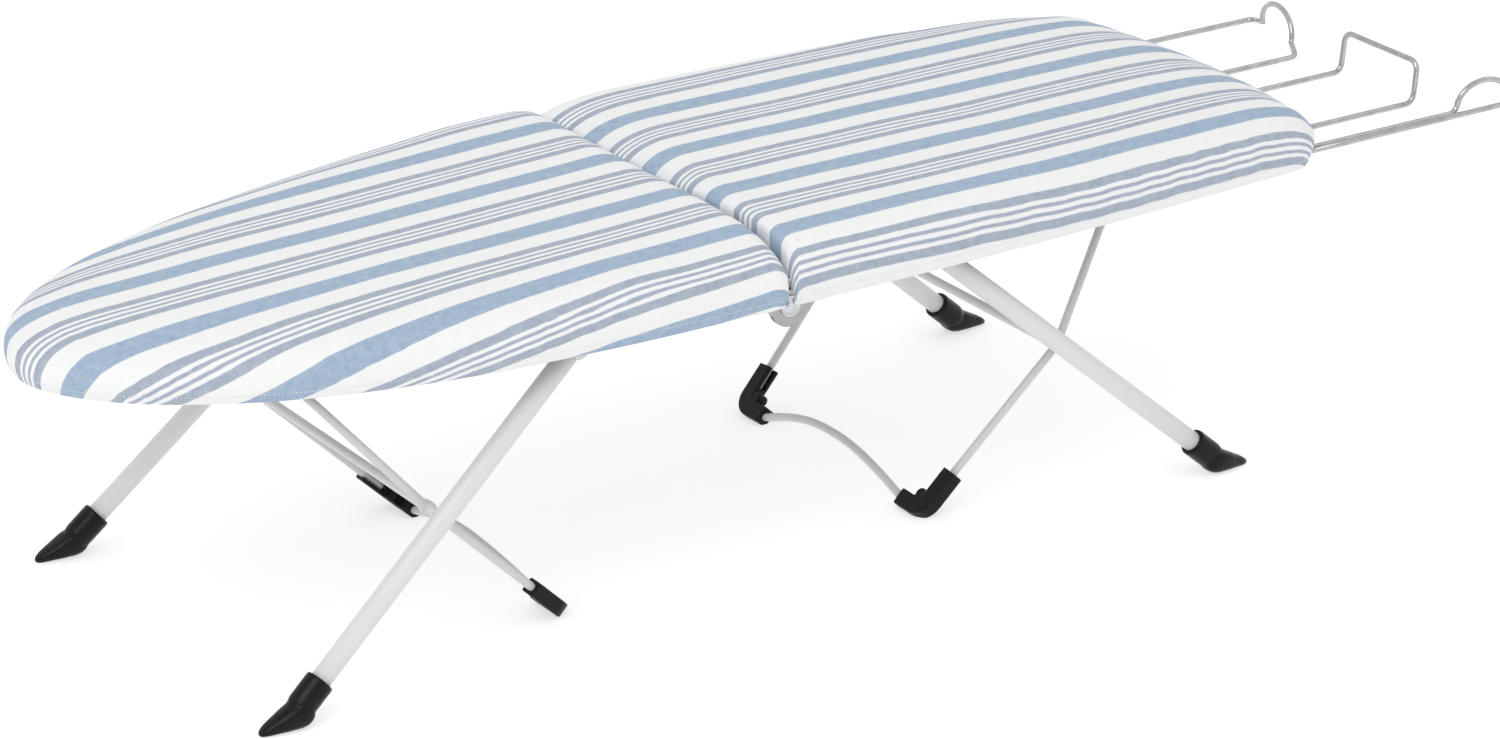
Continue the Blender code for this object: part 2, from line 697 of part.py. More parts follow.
def make_corner_clip(half, side, pivot):
    """The moulded clip round a floor corner of the brace, with a small stop nub."""
    wire = brace_path(half)
    corner = mirrored(brace_foot(half), half, side)
    rod_way = (mirrored(brace_crossing(), half, side) - corner).normalized()
    arch_way = (mirrored(arch_start(half), half, side) - corner).normalized()
    bend = [corner + arch_way * CLIP_ARCH_ARM, corner, corner + rod_way * CLIP_ROD_ARM]
    bm = bmesh.new()
    add_sweep(bm, round_corners(bend, 9 * MM, 5), CLIP_RADIUS, 12)
    name = "{}_corner_foot_{}".format(half, "near" if side < 0 else "far")
    clip = make_object(name, bm, pivot, "black_plastic")
    nub = bmesh.new()
    inside = corner + arch_way * 8 * MM + rod_way * 8 * MM
    matrix = Matrix.Translation(inside)
    bmesh.ops.create_icosphere(nub, subdivisions=2, radius=4.2 * MM, matrix=matrix)
    combine(clip, make_object(name + "_nub_tool", nub, pivot), "UNION")
    channel = bmesh.new()
    add_sweep(channel, wire, BRACE_RADIUS + GAP)
    combine(clip, make_object(name + "_channel_tool", channel, pivot), "DIFFERENCE")
    floor = bmesh.new()
    add_box(floor, corner - Vector((40, 40, 30)) * MM, Vector((corner.x + 40 * MM, corner.y + 40 * MM, 0)))
    combine(clip, make_object(name + "_sole_tool", floor, pivot), "DIFFERENCE")
    return clip


def add_angle_bracket(name, half, side, profile, face, flange_x, flange_reach, pivot):
    """A plate in the XZ plane with a flange under the deck, pointing to the centre line."""
    bm = bmesh.new()
    outline = [mirrored((x, face, z), half, side) for x, z in profile]
    add_prism(bm, outline, (0, side * STEEL, 0))
    bracket = make_object(name, bm, pivot, "zinc")
    flange = bmesh.new()
    ends = [mirrored((x, y, z), half, side) for x, y, z in (
        (flange_x[0], face + 0.6 * STEEL, RIM_TOP - STEEL), (flange_x[1], face - flange_reach, RIM_TOP))]
    low = Vector([min(a, b) for a, b in zip(*ends)])
    high = Vector([max(a, b) for a, b in zip(*ends)])
    add_box(flange, low, high)
    combine(bracket, make_object(name + "_flange_tool", flange, pivot), "UNION")
    return bracket


def make_leg_bracket(half, side, pivot):
    """The plate that holds a leg's pivot pin under the deck."""
    face = LEG_PIVOT.y - 10.4 * MM
    name = "{}_leg_bracket_{}".format(half, "near" if side < 0 else "far")
    x, z = LEG_PIVOT.x, LEG_PIVOT.z
    eye = arc_points((x, z), 8 * MM, -10, -170, 8)
    profile = [(x - 16 * MM, RIM_TOP)] + [(x + 16 * MM, RIM_TOP)] + eye
    flange_x = (x - 14 * MM, x + 14 * MM)
    bracket = add_angle_bracket(name, half, side, profile, face, flange_x, 16 * MM, pivot)
    hole = bmesh.new()
    centre = mirrored((x, face, z), half, side)
    reach = Vector((0, 6 * MM, 0))
    add_cylinder(hole, centre - reach, centre + reach, PIVOT_PIN_RADIUS + 0.1 * MM, 12)
    combine(bracket, make_object(name + "_hole_tool", hole, pivot), "DIFFERENCE")
    return bracket


def make_leg_pin(half, side, pivot):
    """The headed pin that a leg tube turns on."""
    centre = mirrored(LEG_PIVOT, half, side)
    profile = [(-12.4, 6), (-11.2, 6), (-11.2, 4), (7.4, 4), (7.4, 6.5), (8.6, 6.5)]
    pairs = [(d * MM, (PIVOT_PIN_RADIUS if r == 4 else r * MM)) for d, r in profile]
    bm = bmesh.new()
    add_turned(bm, centre, (0, side, 0), pairs, 12)
    return make_object("{}_leg_pin_{}".format(half, "near" if side < 0 else "far"), bm, pivot, "zinc")


def make_latch_plate(half, side, pivot):
    """The slotted plate that the brace's hook slides and locks in."""
    name = "{}_latch_plate_{}".format(half, "near" if side < 0 else "far")
    low_x = BRACE_TOP.x - 11 * MM
    high_x = BRACE_TOP_FOLDED_X + 9 * MM
    base = BRACE_TOP.z - 7.5 * MM
    profile = [(low_x, RIM_TOP), (low_x, base + 4 * MM), (low_x + 4 * MM, base), (high_x - 4 * MM, base)]
    profile += [(high_x, base + 4 * MM), (high_x, RIM_TOP)]
    flange_x = (low_x + 2 * MM, high_x - 2 * MM)
    plate = add_angle_bracket(name, half, side, profile, LATCH_PLATE_Y, flange_x, 12 * MM, pivot)
    slot = bmesh.new()
    hook = BRACE_RADIUS + GAP
    start = (BRACE_TOP.x - hook, LATCH_PLATE_Y - 3 * MM, BRACE_TOP.z - hook)
    stop = (BRACE_TOP_FOLDED_X + hook + GAP, LATCH_PLATE_Y + 5 * MM, BRACE_TOP.z + hook + 1.9 * MM)
    ends = [mirrored(end, half, side) for end in (start, stop)]
    low = Vector([min(a, b) for a, b in zip(*ends)])
    high = Vector([max(a, b) for a, b in zip(*ends)])
    add_box(slot, low, high)
    combine(plate, make_object(name + "_slot_tool", slot, pivot), "DIFFERENCE")
    return plate


# ---------------------------------------------------------------- iron rest

def rest_path():
    """The single bent wire of the iron rest, from the far run to the near run."""
    z = REST_Z
    bend = 7 * MM
    run_start = Vector((REST_INNER_X, REST_FAR_OUTER_Y - 12 * MM, z))
    run_corner = Vector((REST_INNER_X, REST_FAR_OUTER_Y, z))
    outer_foot = Vector((REST_FAR_FOOT_X, REST_FAR_OUTER_Y, z))
    arch = []
    for k in range(9):
        angle = math.pi * k / 8
        y = REST_FAR_LOOP_Y + REST_FAR_LOOP_RADIUS * math.cos(angle)
        lift = 5 * MM + 19.5 * MM * math.sin(angle)
        arch.append(Vector((REST_FAR_FOOT_X - 6 * MM - 12 * MM * k / 8, y, z + lift)))
    path = round_corners([run_start, run_corner, outer_foot], 5 * MM, 3)[:-1]
    path += round_corners([run_corner, outer_foot, arch[0]], 5 * MM, 3)[1:-1]
    path += arch
    inner = REST_INNER_X
    loop_top = z + REST_LOOP_HEIGHT
    curl_start = REST_CURL_X - REST_CURL_RADIUS
    corners = [arch[-1]]
    corners += [Vector((REST_LOOP_X - 6 * MM, REST_FAR_INNER_Y, z))]
    corners += [Vector((inner, REST_FAR_INNER_Y, z)), Vector((inner, REST_MIDDLE_FAR_Y, z))]
    corners += [Vector((REST_LOOP_X, REST_MIDDLE_FAR_Y, z))]
    corners += [Vector((REST_LOOP_X + 3 * MM, REST_MIDDLE_FAR_Y, loop_top))]
    corners += [Vector((REST_LOOP_X + 3 * MM, REST_MIDDLE_NEAR_Y, loop_top))]
    corners += [Vector((REST_LOOP_X, REST_MIDDLE_NEAR_Y, z))]
    corners += [Vector((inner, REST_MIDDLE_NEAR_Y, z)), Vector((inner, REST_NEAR_INNER_Y, z))]
    corners += [Vector((curl_start, REST_NEAR_INNER_Y, z))]
    corners += [Vector((curl_start, REST_NEAR_INNER_Y, z + 14 * MM))]
    path += round_corners(corners, bend, 4)[1:-1]
    for k in range(1, 9):
        angle = math.pi * (1 - k / 8)
        x = REST_CURL_X + REST_CURL_RADIUS * math.cos(angle)
        y = REST_NEAR_INNER_Y + (REST_NEAR_OUTER_Y - REST_NEAR_INNER_Y) * k / 8
        if k < 8:
            path.append(Vector((x, y, z + 5 * MM + 15 * MM * math.sin(angle))))
    end = Vector((REST_CURL_X + REST_CURL_RADIUS, REST_NEAR_OUTER_Y, z))
    path += round_corners([path[-1], end, Vector((inner, REST_NEAR_OUTER_Y, z))], 4 * MM, 3)[1:]
    return path


def make_iron_rest(pivot):
    """The chrome wire rest that slides out of the tail end."""
    bm = bmesh.new()
    add_sweep(bm, rest_path(), REST_RADIUS)
    return make_object("iron_rest_wire", bm, pivot, "chrome")


def rest_runs():
    """(low y, high y) of each place where the rest's wires leave the board."""
    single = [REST_FAR_OUTER_Y, REST_FAR_INNER_Y, REST_MIDDLE_FAR_Y, REST_MIDDLE_NEAR_Y]
    runs = [(y, y) for y in single]
    runs.append((REST_NEAR_OUTER_Y, REST_NEAR_INNER_Y))
    return runs


def make_rest_slots(name, low_x, high_x, low_z, pivot):
    """One tool with a slot for each run of the rest."""
    margin = REST_RADIUS + 0.5 * MM
    bm = bmesh.new()
    for low_y, high_y in rest_runs():
        add_box(bm, (low_x, low_y - margin, low_z), (high_x, high_y + margin, REST_Z + margin))
    return make_object(name, bm, pivot)


def make_rest_guide(pivot):
    """The cross plate under the deck that the rest slides through."""
    reach = 130 * MM
    low_z = 197 * MM
    flange = -12 * MM
    profile = [(STEEL, low_z), (STEEL, RIM_TOP), (flange, RIM_TOP), (flange, RIM_TOP - STEEL)]
    profile += [(0, RIM_TOP - STEEL), (0, low_z)]
    bm = bmesh.new()
    outline = [Vector((REST_GUIDE_X + x, -reach, z)) for x, z in profile]
    add_prism(bm, outline, (0, 2 * reach, 0))
    guide = make_object("rest_guide", bm, pivot, "zinc")
    slot_floor = REST_Z - REST_RADIUS - 0.5 * MM
    start = REST_GUIDE_X - 5 * MM
    tool = make_rest_slots("rest_guide_slots_tool", start, start + 10 * MM, slot_floor, pivot)
    combine(guide, tool, "DIFFERENCE")
    return guide


# ---------------------------------------------------------------- assembly

def make_half(half, pivot):
    """Everything that is fixed to one half of the board."""
    rim = make_rim(half, pivot)
    make_hinge_rail(half, pivot)
    make_deck(half, pivot)
    make_pad(half, pivot)
    cover = make_cover(half, pivot)
    for side in (-1, 1):
        make_hinge_plate(half, side, pivot)
        make_leg_bracket(half, side, pivot)
        make_leg_pin(half, side, pivot)
        make_latch_plate(half, side, pivot)
    return rim, cover


def make_leg_set(half, board_pivot):
    """The crossed legs of one half."""
    top = mirrored((LEG_PIVOT.x, 0, LEG_PIVOT.z), half, 1)
    leg_pivot = make_empty(half + "_leg_axis", board_pivot, top)
    middle = mirrored((tube_point(CROSSING_Z).x, 0, CROSSING_Z), half, 1)
    brace_pivot = make_empty(half + "_brace_axis", leg_pivot, middle)
    for side in (-1, 1):
        make_leg(half, side, leg_pivot)
        make_foot(half, side, leg_pivot)
        make_corner_clip(half, side, brace_pivot)
    make_axle(half, leg_pivot)
    make_brace(half, brace_pivot)


def build():
    """Model the whole board."""
    tail = make_empty("tail_frame", None, (0, 0, 0))
    hinge = make_empty("board_hinge_axis", tail, (0, 0, HINGE_Z))
    rest = make_empty("rest_slide_axis", tail, (TAIL_LENGTH, 0, REST_Z))
    tail_rim, tail_cover = make_half("tail", tail)
    make_half("nose", hinge)
    for side in (-1, 1):
        make_hinge_pin(side, tail)
    make_leg_set("tail", tail)
    make_leg_set("nose", hinge)
    make_rest_guide(tail)
    slots = make_rest_slots("rest_exit_slots_tool", TAIL_CORNER_X, TAIL_LENGTH + 9 * MM, 190 * MM, tail)
    combine(tail_rim, slots, "DIFFERENCE")
    combine(tail_cover, slots, "DIFFERENCE")
    make_iron_rest(rest)


build()
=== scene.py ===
"""Looks of the folding tabletop ironing board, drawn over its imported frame.

Shapes are laid out in millimetres from the board's hinge: +X runs along the tail half, +Y is
the far side, +Z is up from the table. place() carries such points into the shared frame.
"""
import math
from functools import partial

import bmesh
import bpy
import numpy as np
from mathutils import Matrix, Vector


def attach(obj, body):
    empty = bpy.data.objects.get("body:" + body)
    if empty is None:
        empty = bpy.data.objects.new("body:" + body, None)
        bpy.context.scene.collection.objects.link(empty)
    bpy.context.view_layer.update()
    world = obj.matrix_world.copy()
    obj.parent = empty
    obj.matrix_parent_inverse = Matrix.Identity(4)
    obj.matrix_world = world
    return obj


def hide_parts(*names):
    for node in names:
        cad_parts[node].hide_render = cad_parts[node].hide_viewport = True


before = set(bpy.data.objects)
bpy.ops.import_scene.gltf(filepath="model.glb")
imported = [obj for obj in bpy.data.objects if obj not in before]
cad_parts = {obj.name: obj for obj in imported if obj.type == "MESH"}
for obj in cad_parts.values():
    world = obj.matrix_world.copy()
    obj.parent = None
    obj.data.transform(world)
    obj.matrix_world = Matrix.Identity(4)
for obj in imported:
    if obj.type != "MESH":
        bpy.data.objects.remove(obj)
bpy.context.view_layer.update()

HINGE_X = -76.4
HINGE_Z = 195.0

# Board outline
NOSE_LENGTH = 454.0
TAIL_LENGTH = 452.0
HALF_WIDTH = 155.0
SEAM = 0.85
NOSE_STRAIGHT = 40.0
TAIL_STRAIGHT = 60.0
TAIL_END_HALF_WIDTH = 139.5
TAIL_CORNER_X = 404.0
TAIL_CORNER_RADIUS = 31.5
TAIL_END_BULGE = 12.5
HINGE_CORNER = 7.0

LENGTH = {"tail": TAIL_LENGTH, "nose": NOSE_LENGTH}
SIGN = {"tail": 1, "nose": -1}
SIDE_NAME = {-1: "near", 1: "far"}

# Cover and pad
CLOTH_THICKNESS = 1.0
RING_SPACING = 2.6
HEM_Z = 196.5
SHOULDER_Z = 218.0
DECK_TOP = 217.5
CROWN_AT = 0.45
PAD_CLEARANCE = 2.4

# Iron rest runs that leave the tail end, as y
REST_RUNS = (111.0, 30.0, -12.0, -89.0, -123.0)
REST_Z = 201.5

# Stripes of the cover cloth, as shares of the repeat from the middle of the wide stripe
WIDE_STRIPE = 0.111
MEDIUM_AT = 0.366
MEDIUM_STRIPE = 0.043
THIN_AT = 0.4635
THIN_STRIPE = 0.0165
STRIPE_SOFTNESS = 0.006


def place(points):
    """Hinge-frame millimetres to the shared frame's metres."""
    points = np.asarray(points, float).reshape(-1, 3)
    return (points + (HINGE_X, 0, 0)) * 0.001


def smooth_curve(table, x):
    """Monotone cubic through (x, y) pairs."""
    xs = np.array([row[0] for row in table], float)
    ys = np.array([row[1] for row in table], float)
    step = np.diff(xs)
    slope = np.diff(ys) / step
    tangent = np.zeros(len(xs))
    product = slope[:-1] * slope[1:]
    safe = np.where(product > 0, slope[:-1] + slope[1:], 1)
    tangent[1:-1] = np.where(product > 0, 2 * product / safe, 0)
    x = np.clip(x, xs[0], xs[-1])
    i = np.clip(np.searchsorted(xs, x, side="right") - 1, 0, len(step) - 1)
    t = (x - xs[i]) / step[i]
    a = (1 + 2 * t) * (1 - t) ** 2 * ys[i] + t * (1 - t) ** 2 * step[i] * tangent[i]
    b = t * t * (3 - 2 * t) * ys[i + 1] - t * t * (1 - t) * step[i] * tangent[i + 1]
    return a + b


# ---- materials

def new_material(name, roughness, metallic=0.0):
    """A Principled material and its node tree's main parts."""
    material = bpy.data.materials.new(name)
    material.use_nodes = True
    tree = material.node_tree
    shader = tree.nodes["Principled BSDF"]
    shader.inputs["Roughness"].default_value = roughness
    shader.inputs["Metallic"].default_value = metallic
    return material, tree, shader


def math_node(tree, operation, a, b=None, c=None):
    """A Math node whose inputs are numbers or sockets."""
    node = tree.nodes.new("ShaderNodeMath")
    node.operation = operation
    for socket, value in zip(node.inputs, (a, b, c)):
        if value is None:
            continue
        if isinstance(value, (int, float)):
            socket.default_value = value
        else:
            tree.links.new(value, socket)
    return node.outputs[0]


def noise_node(tree, vector, scale, detail=3.0, roughness=0.55):
    """A noise texture's value."""
    node = tree.nodes.new("ShaderNodeTexNoise")
    node.inputs["Scale"].default_value = scale
    node.inputs["Detail"].default_value = detail
    node.inputs["Roughness"].default_value = roughness
    tree.links.new(vector, node.inputs["Vector"])
    return node.outputs["Fac"]


def stretched(tree, vector, scale):
    """A vector scaled by axis."""
    node = tree.nodes.new("ShaderNodeMapping")
    node.inputs["Scale"].default_value = scale
    tree.links.new(vector, node.inputs["Vector"])
    return node.outputs["Vector"]


def mix_colour(tree, factor, a, b):
    """Mix of two colours, each a tuple or a socket."""
    node = tree.nodes.new("ShaderNodeMix")
    node.data_type = "RGBA"
    tree.links.new(factor, node.inputs["Factor"])
    for socket, value in ((node.inputs[6], a), (node.inputs[7], b)):
        if isinstance(value, tuple):
            socket.default_value = (*value, 1.0)
        else:
            tree.links.new(value, socket)
    return node.outputs[2]


def map_range(tree, value, from_low, from_high, to_low=0.0, to_high=1.0, smooth=False):
    """A Map Range node's result."""
    node = tree.nodes.new("ShaderNodeMapRange")
    if smooth:
        node.interpolation_type = "SMOOTHSTEP"
    for name, number in (("From Min", from_low), ("From Max", from_high),
                         ("To Min", to_low), ("To Max", to_high)):
        node.inputs[name].default_value = number
    tree.links.new(value, node.inputs["Value"])
    return node.outputs["Result"]


def add_bump(tree, shader, height, strength, distance):
    """Bump on a shader from a height socket."""
    node = tree.nodes.new("ShaderNodeBump")
    node.inputs["Strength"].default_value = strength
    node.inputs["Distance"].default_value = distance
    tree.links.new(height, node.inputs["Height"])
    tree.links.new(node.outputs["Normal"], shader.inputs["Normal"])


def object_coordinates(tree):
    """The object's own coordinates."""
    return tree.nodes.new("ShaderNodeTexCoord").outputs["Object"]


def stripe_band(tree, place_in_repeat, centre, half_width):
    """1 inside a stripe and 0 outside, from the folded repeat coordinate."""
    offset = math_node(tree, "SUBTRACT", place_in_repeat, centre)
    distance = math_node(tree, "ABSOLUTE", offset)
    low, high = half_width - STRIPE_SOFTNESS, half_width + STRIPE_SOFTNESS
    return map_range(tree, distance, low, high, 1.0, 0.0, True)


def cover_material(name, repeat_length, offset, slope, near_from, near_most, near_gain, near_along, far_gain,
                   end_from, end_most, end_gain, end_near):
    """Striped chambray: yarn-dyed stripes along the flattened cloth, with a plain weave.

    The cloth is pulled tight round the near edge and the end, which draws the stripes together there.
    """
    material, tree, shader = new_material(name, 0.88)
    operations = ("ADD", "SUBTRACT", "MULTIPLY", "MAXIMUM", "MINIMUM")
    plus, minus, times, larger, smaller = [partial(math_node, tree, kind) for kind in operations]
    shader.inputs["Sheen Weight"].default_value = 0.08
    shader.inputs["Specular IOR Level"].default_value = 0.2
    uv = tree.nodes.new("ShaderNodeUVMap")
    uv.uv_map = "cloth"
    cloth = uv.outputs["UV"]
    split = tree.nodes.new("ShaderNodeSeparateXYZ")
    tree.links.new(cloth, split.inputs[0])
    along, across = split.outputs[0], split.outputs[1]

    wander = noise_node(tree, stretched(tree, cloth, (6, 14, 1)), 1.0, 2.0)
    wander = times(minus(wander, 0.5), 0.004)
    drift = times(along, slope)
    t = minus(across, drift)
    t = plus(t, wander)
    end = minus(math_node(tree, "ABSOLUTE", along), end_from)
    end = smaller(larger(end, 0.0), end_most)
    outer = larger(minus(-0.035, t), 0.0)
    pull = math_node(tree, "MULTIPLY_ADD", outer, end_near, end_gain)
    pull = times(times(end, end), pull)
    t = minus(t, pull)
    beyond = minus(t, offset)
    repeat = math_node(tree, "DIVIDE", beyond, repeat_length)
    far = times(larger(beyond, 0.0), far_gain)
    repeat = plus(repeat, far)
    depth = larger(minus(-near_from, t), 0.0)
    depth = smaller(depth, near_most)
    gain = math_node(tree, "MULTIPLY_ADD", along, near_along, near_gain)
    depth = times(times(depth, depth), gain)
    repeat = minus(repeat, depth)
    ragged = noise_node(tree, stretched(tree, cloth, (120, 1600, 1)), 1.0, 1.0)
    ragged = times(minus(ragged, 0.5), 0.012)
    repeat = plus(repeat, ragged)
    wave = math_node(tree, "PINGPONG", repeat, 0.5)

    wide = stripe_band(tree, wave, 0.0, WIDE_STRIPE)
    medium = stripe_band(tree, wave, MEDIUM_AT, MEDIUM_STRIPE)
    thin = stripe_band(tree, wave, THIN_AT, THIN_STRIPE)
    lines = larger(medium, thin)

    weft = noise_node(tree, stretched(tree, cloth, (2600, 180, 1)), 1.0, 2.0, 0.6)
    warp = noise_node(tree, stretched(tree, cloth, (120, 2400, 1)), 1.0, 2.0, 0.6)
    mottle = noise_node(tree, cloth, 160.0, 4.0, 0.65)
    yarn = times(plus(weft, warp), 0.5)
    heather = plus(times(yarn, 0.65), times(mottle, 0.35))
    heather = map_range(tree, heather, 0.36, 0.64, 0.0, 1.0)

    white = mix_colour(tree, heather, (0.79, 0.795, 0.80), (0.855, 0.855, 0.855))
    blue = mix_colour(tree, heather, (0.245, 0.345, 0.485), (0.43, 0.525, 0.63))
    grey = mix_colour(tree, heather, (0.285, 0.335, 0.43), (0.455, 0.50, 0.57))
    colour = mix_colour(tree, lines, white, grey)
    colour = mix_colour(tree, wide, colour, blue)
    tree.links.new(colour, shader.inputs["Base Color"])

    pitch = 2 * math.pi / 0.00062
    over = math_node(tree, "SINE", times(along, pitch))
    under = math_node(tree, "SINE", times(across, pitch))
    weave = times(over, under)
    crumple = noise_node(tree, stretched(tree, cloth, (38, 55, 1)), 1.0, 4.0, 0.5)
    height = plus(times(weave, 0.10), times(yarn, 0.35))
    height = plus(height, times(crumple, 2.2))
    add_bump(tree, shader, height, 0.5, 0.0007)
    return material


def foam_material():
    """Open-cell foam with fine pores, painted darker in the pores as painted shade."""
    material, tree, shader = new_material("foam_look", 0.95)
    where = object_coordinates(tree)
    pores = noise_node(tree, where, 1400.0, 3.0, 0.6)
    patches = noise_node(tree, where, 30.0, 2.0)
    tone = mix_colour(tree, patches, (0.80, 0.75, 0.60), (0.88, 0.84, 0.72))
    # Painted shade: the pores are painted a darker brown than the cell walls
    dark = map_range(tree, pores, 0.30, 0.48, 0.0, 1.0)
    colour = mix_colour(tree, dark, (0.52, 0.47, 0.36), tone)
    tree.links.new(colour, shader.inputs["Base Color"])
    add_bump(tree, shader, pores, 0.6, 0.0006)
    return material


def paint_material(name, colour, roughness):
    """Powder coat: faint orange peel and slightly uneven gloss."""
    material, tree, shader = new_material(name, roughness)
    where = object_coordinates(tree)
    peel = noise_node(tree, where, 900.0, 2.0, 0.5)
    haze = noise_node(tree, where, 45.0, 4.0, 0.6)
    darker = tuple(c * 0.955 for c in colour)
    tree.links.new(mix_colour(tree, haze, darker, colour), shader.inputs["Base Color"])
    gloss = map_range(tree, haze, 0.3, 0.7, roughness - 0.06, roughness + 0.08)
    tree.links.new(gloss, shader.inputs["Roughness"])
    add_bump(tree, shader, peel, 0.12, 0.0003)
    return material


def metal_material(name, dark, light, roughness, grain):
    """Bare or plated metal with brushed and clouded patches; on the chrome wire the patches are painted
    reflections.
    """
    material, tree, shader = new_material(name, roughness, 1.0)
    where = object_coordinates(tree)
    # Dark-to-light patches: clouding on the plated metal, painted reflections on the chrome wire
    patches_and_reflections = noise_node(tree, where, grain, 4.0, 0.6)
    scratches = noise_node(tree, stretched(tree, where, (60, 900, 900)), 1.0, 3.0, 0.7)
    tree.links.new(mix_colour(tree, patches_and_reflections, dark, light), shader.inputs["Base Color"])
    rough = map_range(tree, scratches, 0.35, 0.7, roughness - 0.04, roughness + 0.12)
    tree.links.new(rough, shader.inputs["Roughness"])
    add_bump(tree, shader, scratches, 0.08, 0.0002)
    return material


def plastic_material(name, roughness):
    """Moulded black plastic with a fine grain and dull scuffs."""
    material, tree, shader = new_material(name, roughness)
    where = object_coordinates(tree)
    grain = noise_node(tree, where, 1500.0, 2.0, 0.5)
    scuffs = noise_node(tree, stretched(tree, where, (160, 60, 220)), 1.0, 5.0, 0.7)
    marks = map_range(tree, scuffs, 0.60, 0.80, 0.0, 0.55)
    tree.links.new(mix_colour(tree, marks, (0.003, 0.003, 0.0035), (0.022, 0.022, 0.024)),
                   shader.inputs["Base Color"])
    shader.inputs["Specular IOR Level"].default_value = 0.22
    rough = map_range(tree, scuffs, 0.3, 0.75, roughness - 0.05, roughness + 0.22)
    tree.links.new(rough, shader.inputs["Roughness"])
    add_bump(tree, shader, grain, 0.15, 0.0003)
    return material


TAIL_STRIPES = {
    "repeat_length": 0.0760, "offset": 0.0137, "slope": 0.0,
    "near_from": 0.100, "near_most": 0.058, "near_gain": 45.0, "near_along": 0.0, "far_gain": 0.87,
    "end_from": 0.20, "end_most": 0.5, "end_gain": 0.05, "end_near": 1.9,
}
NOSE_STRIPES = {
    "repeat_length": 0.0765, "offset": 0.0290, "slope": 0.036,
    "near_from": 0.058, "near_most": 0.2, "near_gain": 22.0, "near_along": 60.0, "far_gain": 0.40,
    "end_from": 0.34, "end_most": 0.09, "end_gain": 1.3, "end_near": 0.0,
}

LOOKS = {
    "tail_cover": cover_material("tail_cloth", **TAIL_STRIPES),
    "nose_cover": cover_material("nose_cloth", **NOSE_STRIPES),
    "foam": foam_material(),
    "paint": paint_material("white_powder_coat", (0.68, 0.68, 0.675), 0.34),
    "wire_paint": paint_material("wire_coat", (0.60, 0.60, 0.595), 0.36),
    "zinc": metal_material("zinc_plate", (0.50, 0.51, 0.52), (0.70, 0.71, 0.72), 0.36, 90.0),
    "lug": metal_material("hinge_steel", (0.30, 0.31, 0.30), (0.50, 0.50, 0.49), 0.34, 60.0),
    # The chrome wire's darkened colour and its dark and light patches are painted reflections
    "chrome": metal_material("chrome_wire", (0.30, 0.305, 0.31), (0.62, 0.625, 0.63), 0.10, 120.0),
    "shoe": plastic_material("shoe_plastic", 0.24),
    "clip": plastic_material("clip_plastic", 0.40),
    "thread": new_material("hem_thread", 0.8)[0],
}
thread = LOOKS["thread"].node_tree.nodes["Principled BSDF"]
thread.inputs["Base Color"].default_value = (0.80, 0.81, 0.83, 1)


# ---- meshes

WIRE_SIDES = 20


def make_piece(name, solid, look, body, replaces, smooth=True, uv=None):
    """A mesh piece from a solid, with the body it rides on and the nodes it stands for.

    A solid is a pair: points in the hinge frame, and faces that index them.
    """
    points, faces = solid
    mesh = bpy.data.meshes.new(name)
    mesh.from_pydata([tuple(p) for p in place(points)], [], [tuple(map(int, f)) for f in faces])
    mesh.validate()
    if uv is None:
        face_outwards(mesh)
    mesh.materials.append(LOOKS[look])
    mesh.polygons.foreach_set("use_smooth", [smooth] * len(mesh.polygons))
    if uv is not None:
        layer = mesh.uv_layers.new(name="cloth")
        corner = np.zeros(len(mesh.loops), np.int32)
        mesh.loops.foreach_get("vertex_index", corner)
        layer.data.foreach_set("uv", np.asarray(uv, np.float32)[corner].ravel())
    piece = bpy.data.objects.new(name, mesh)
    bpy.context.collection.objects.link(piece)
    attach(piece, body)
    if replaces:
        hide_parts(*replaces)
    return piece


def face_outwards(mesh):
    """Turn every closed shell's normals outwards."""
    bm = bmesh.new()
    bm.from_mesh(mesh)
    bmesh.ops.recalc_face_normals(bm, faces=bm.faces)
    bm.to_mesh(mesh)
    bm.free()


def ring_faces(rings, count, close_first=True):
    """Quads between closed rings of the same size, with a cap on the last and usually on the first."""
    index = np.arange(rings * count).reshape(rings, count)
    following = np.roll(index, -1, axis=1)
    quads = np.stack([index[:-1], following[:-1], following[1:], index[1:]], -1).reshape(-1, 4)
    faces = [tuple(q) for q in quads]
    if close_first:
        faces.append(tuple(reversed(index[0])))
    faces.append(tuple(index[-1]))
    return faces


def centre_fan(cap, centre):
    """Triangles from a cap's edge to a middle point."""
    return [(cap[k], cap[(k + 1) % len(cap)], centre) for k in range(len(cap))]


def turned(start, axis, profile, sides):
    """A turned solid from (distance, radius) pairs along its axis."""
    start = Vector(start)
    axis = Vector(axis).normalized()
    first = axis.orthogonal().normalized()
    second = axis.cross(first)
    rings = []
    for distance, radius in profile:
        for k in range(sides):
            angle = 2 * math.pi * k / sides
            spoke = first * math.cos(angle) + second * math.sin(angle)
            rings.append(start + axis * distance + spoke * radius)
    return rings, ring_faces(len(profile), sides)


def block(low, high):
    """A box-shaped solid between two corners."""
    plan = ((low.x, low.y), (high.x, low.y), (high.x, high.y), (low.x, high.y))
    corners = [Vector((x, y, z)) for z in (low.z, high.z) for x, y in plan]
    return corners, [(3, 2, 1, 0), (4, 5, 6, 7), (0, 1, 5, 4), (1, 2, 6, 5), (2, 3, 7, 6), (3, 0, 4, 7)]


def join_solids(solids):
    """One solid from several."""
    points, faces = [], []
    for solid_points, solid_faces in solids:
        base = len(points)
        points += [tuple(p) for p in solid_points]
        faces += [tuple(i + base for i in face) for face in solid_faces]
    return points, faces


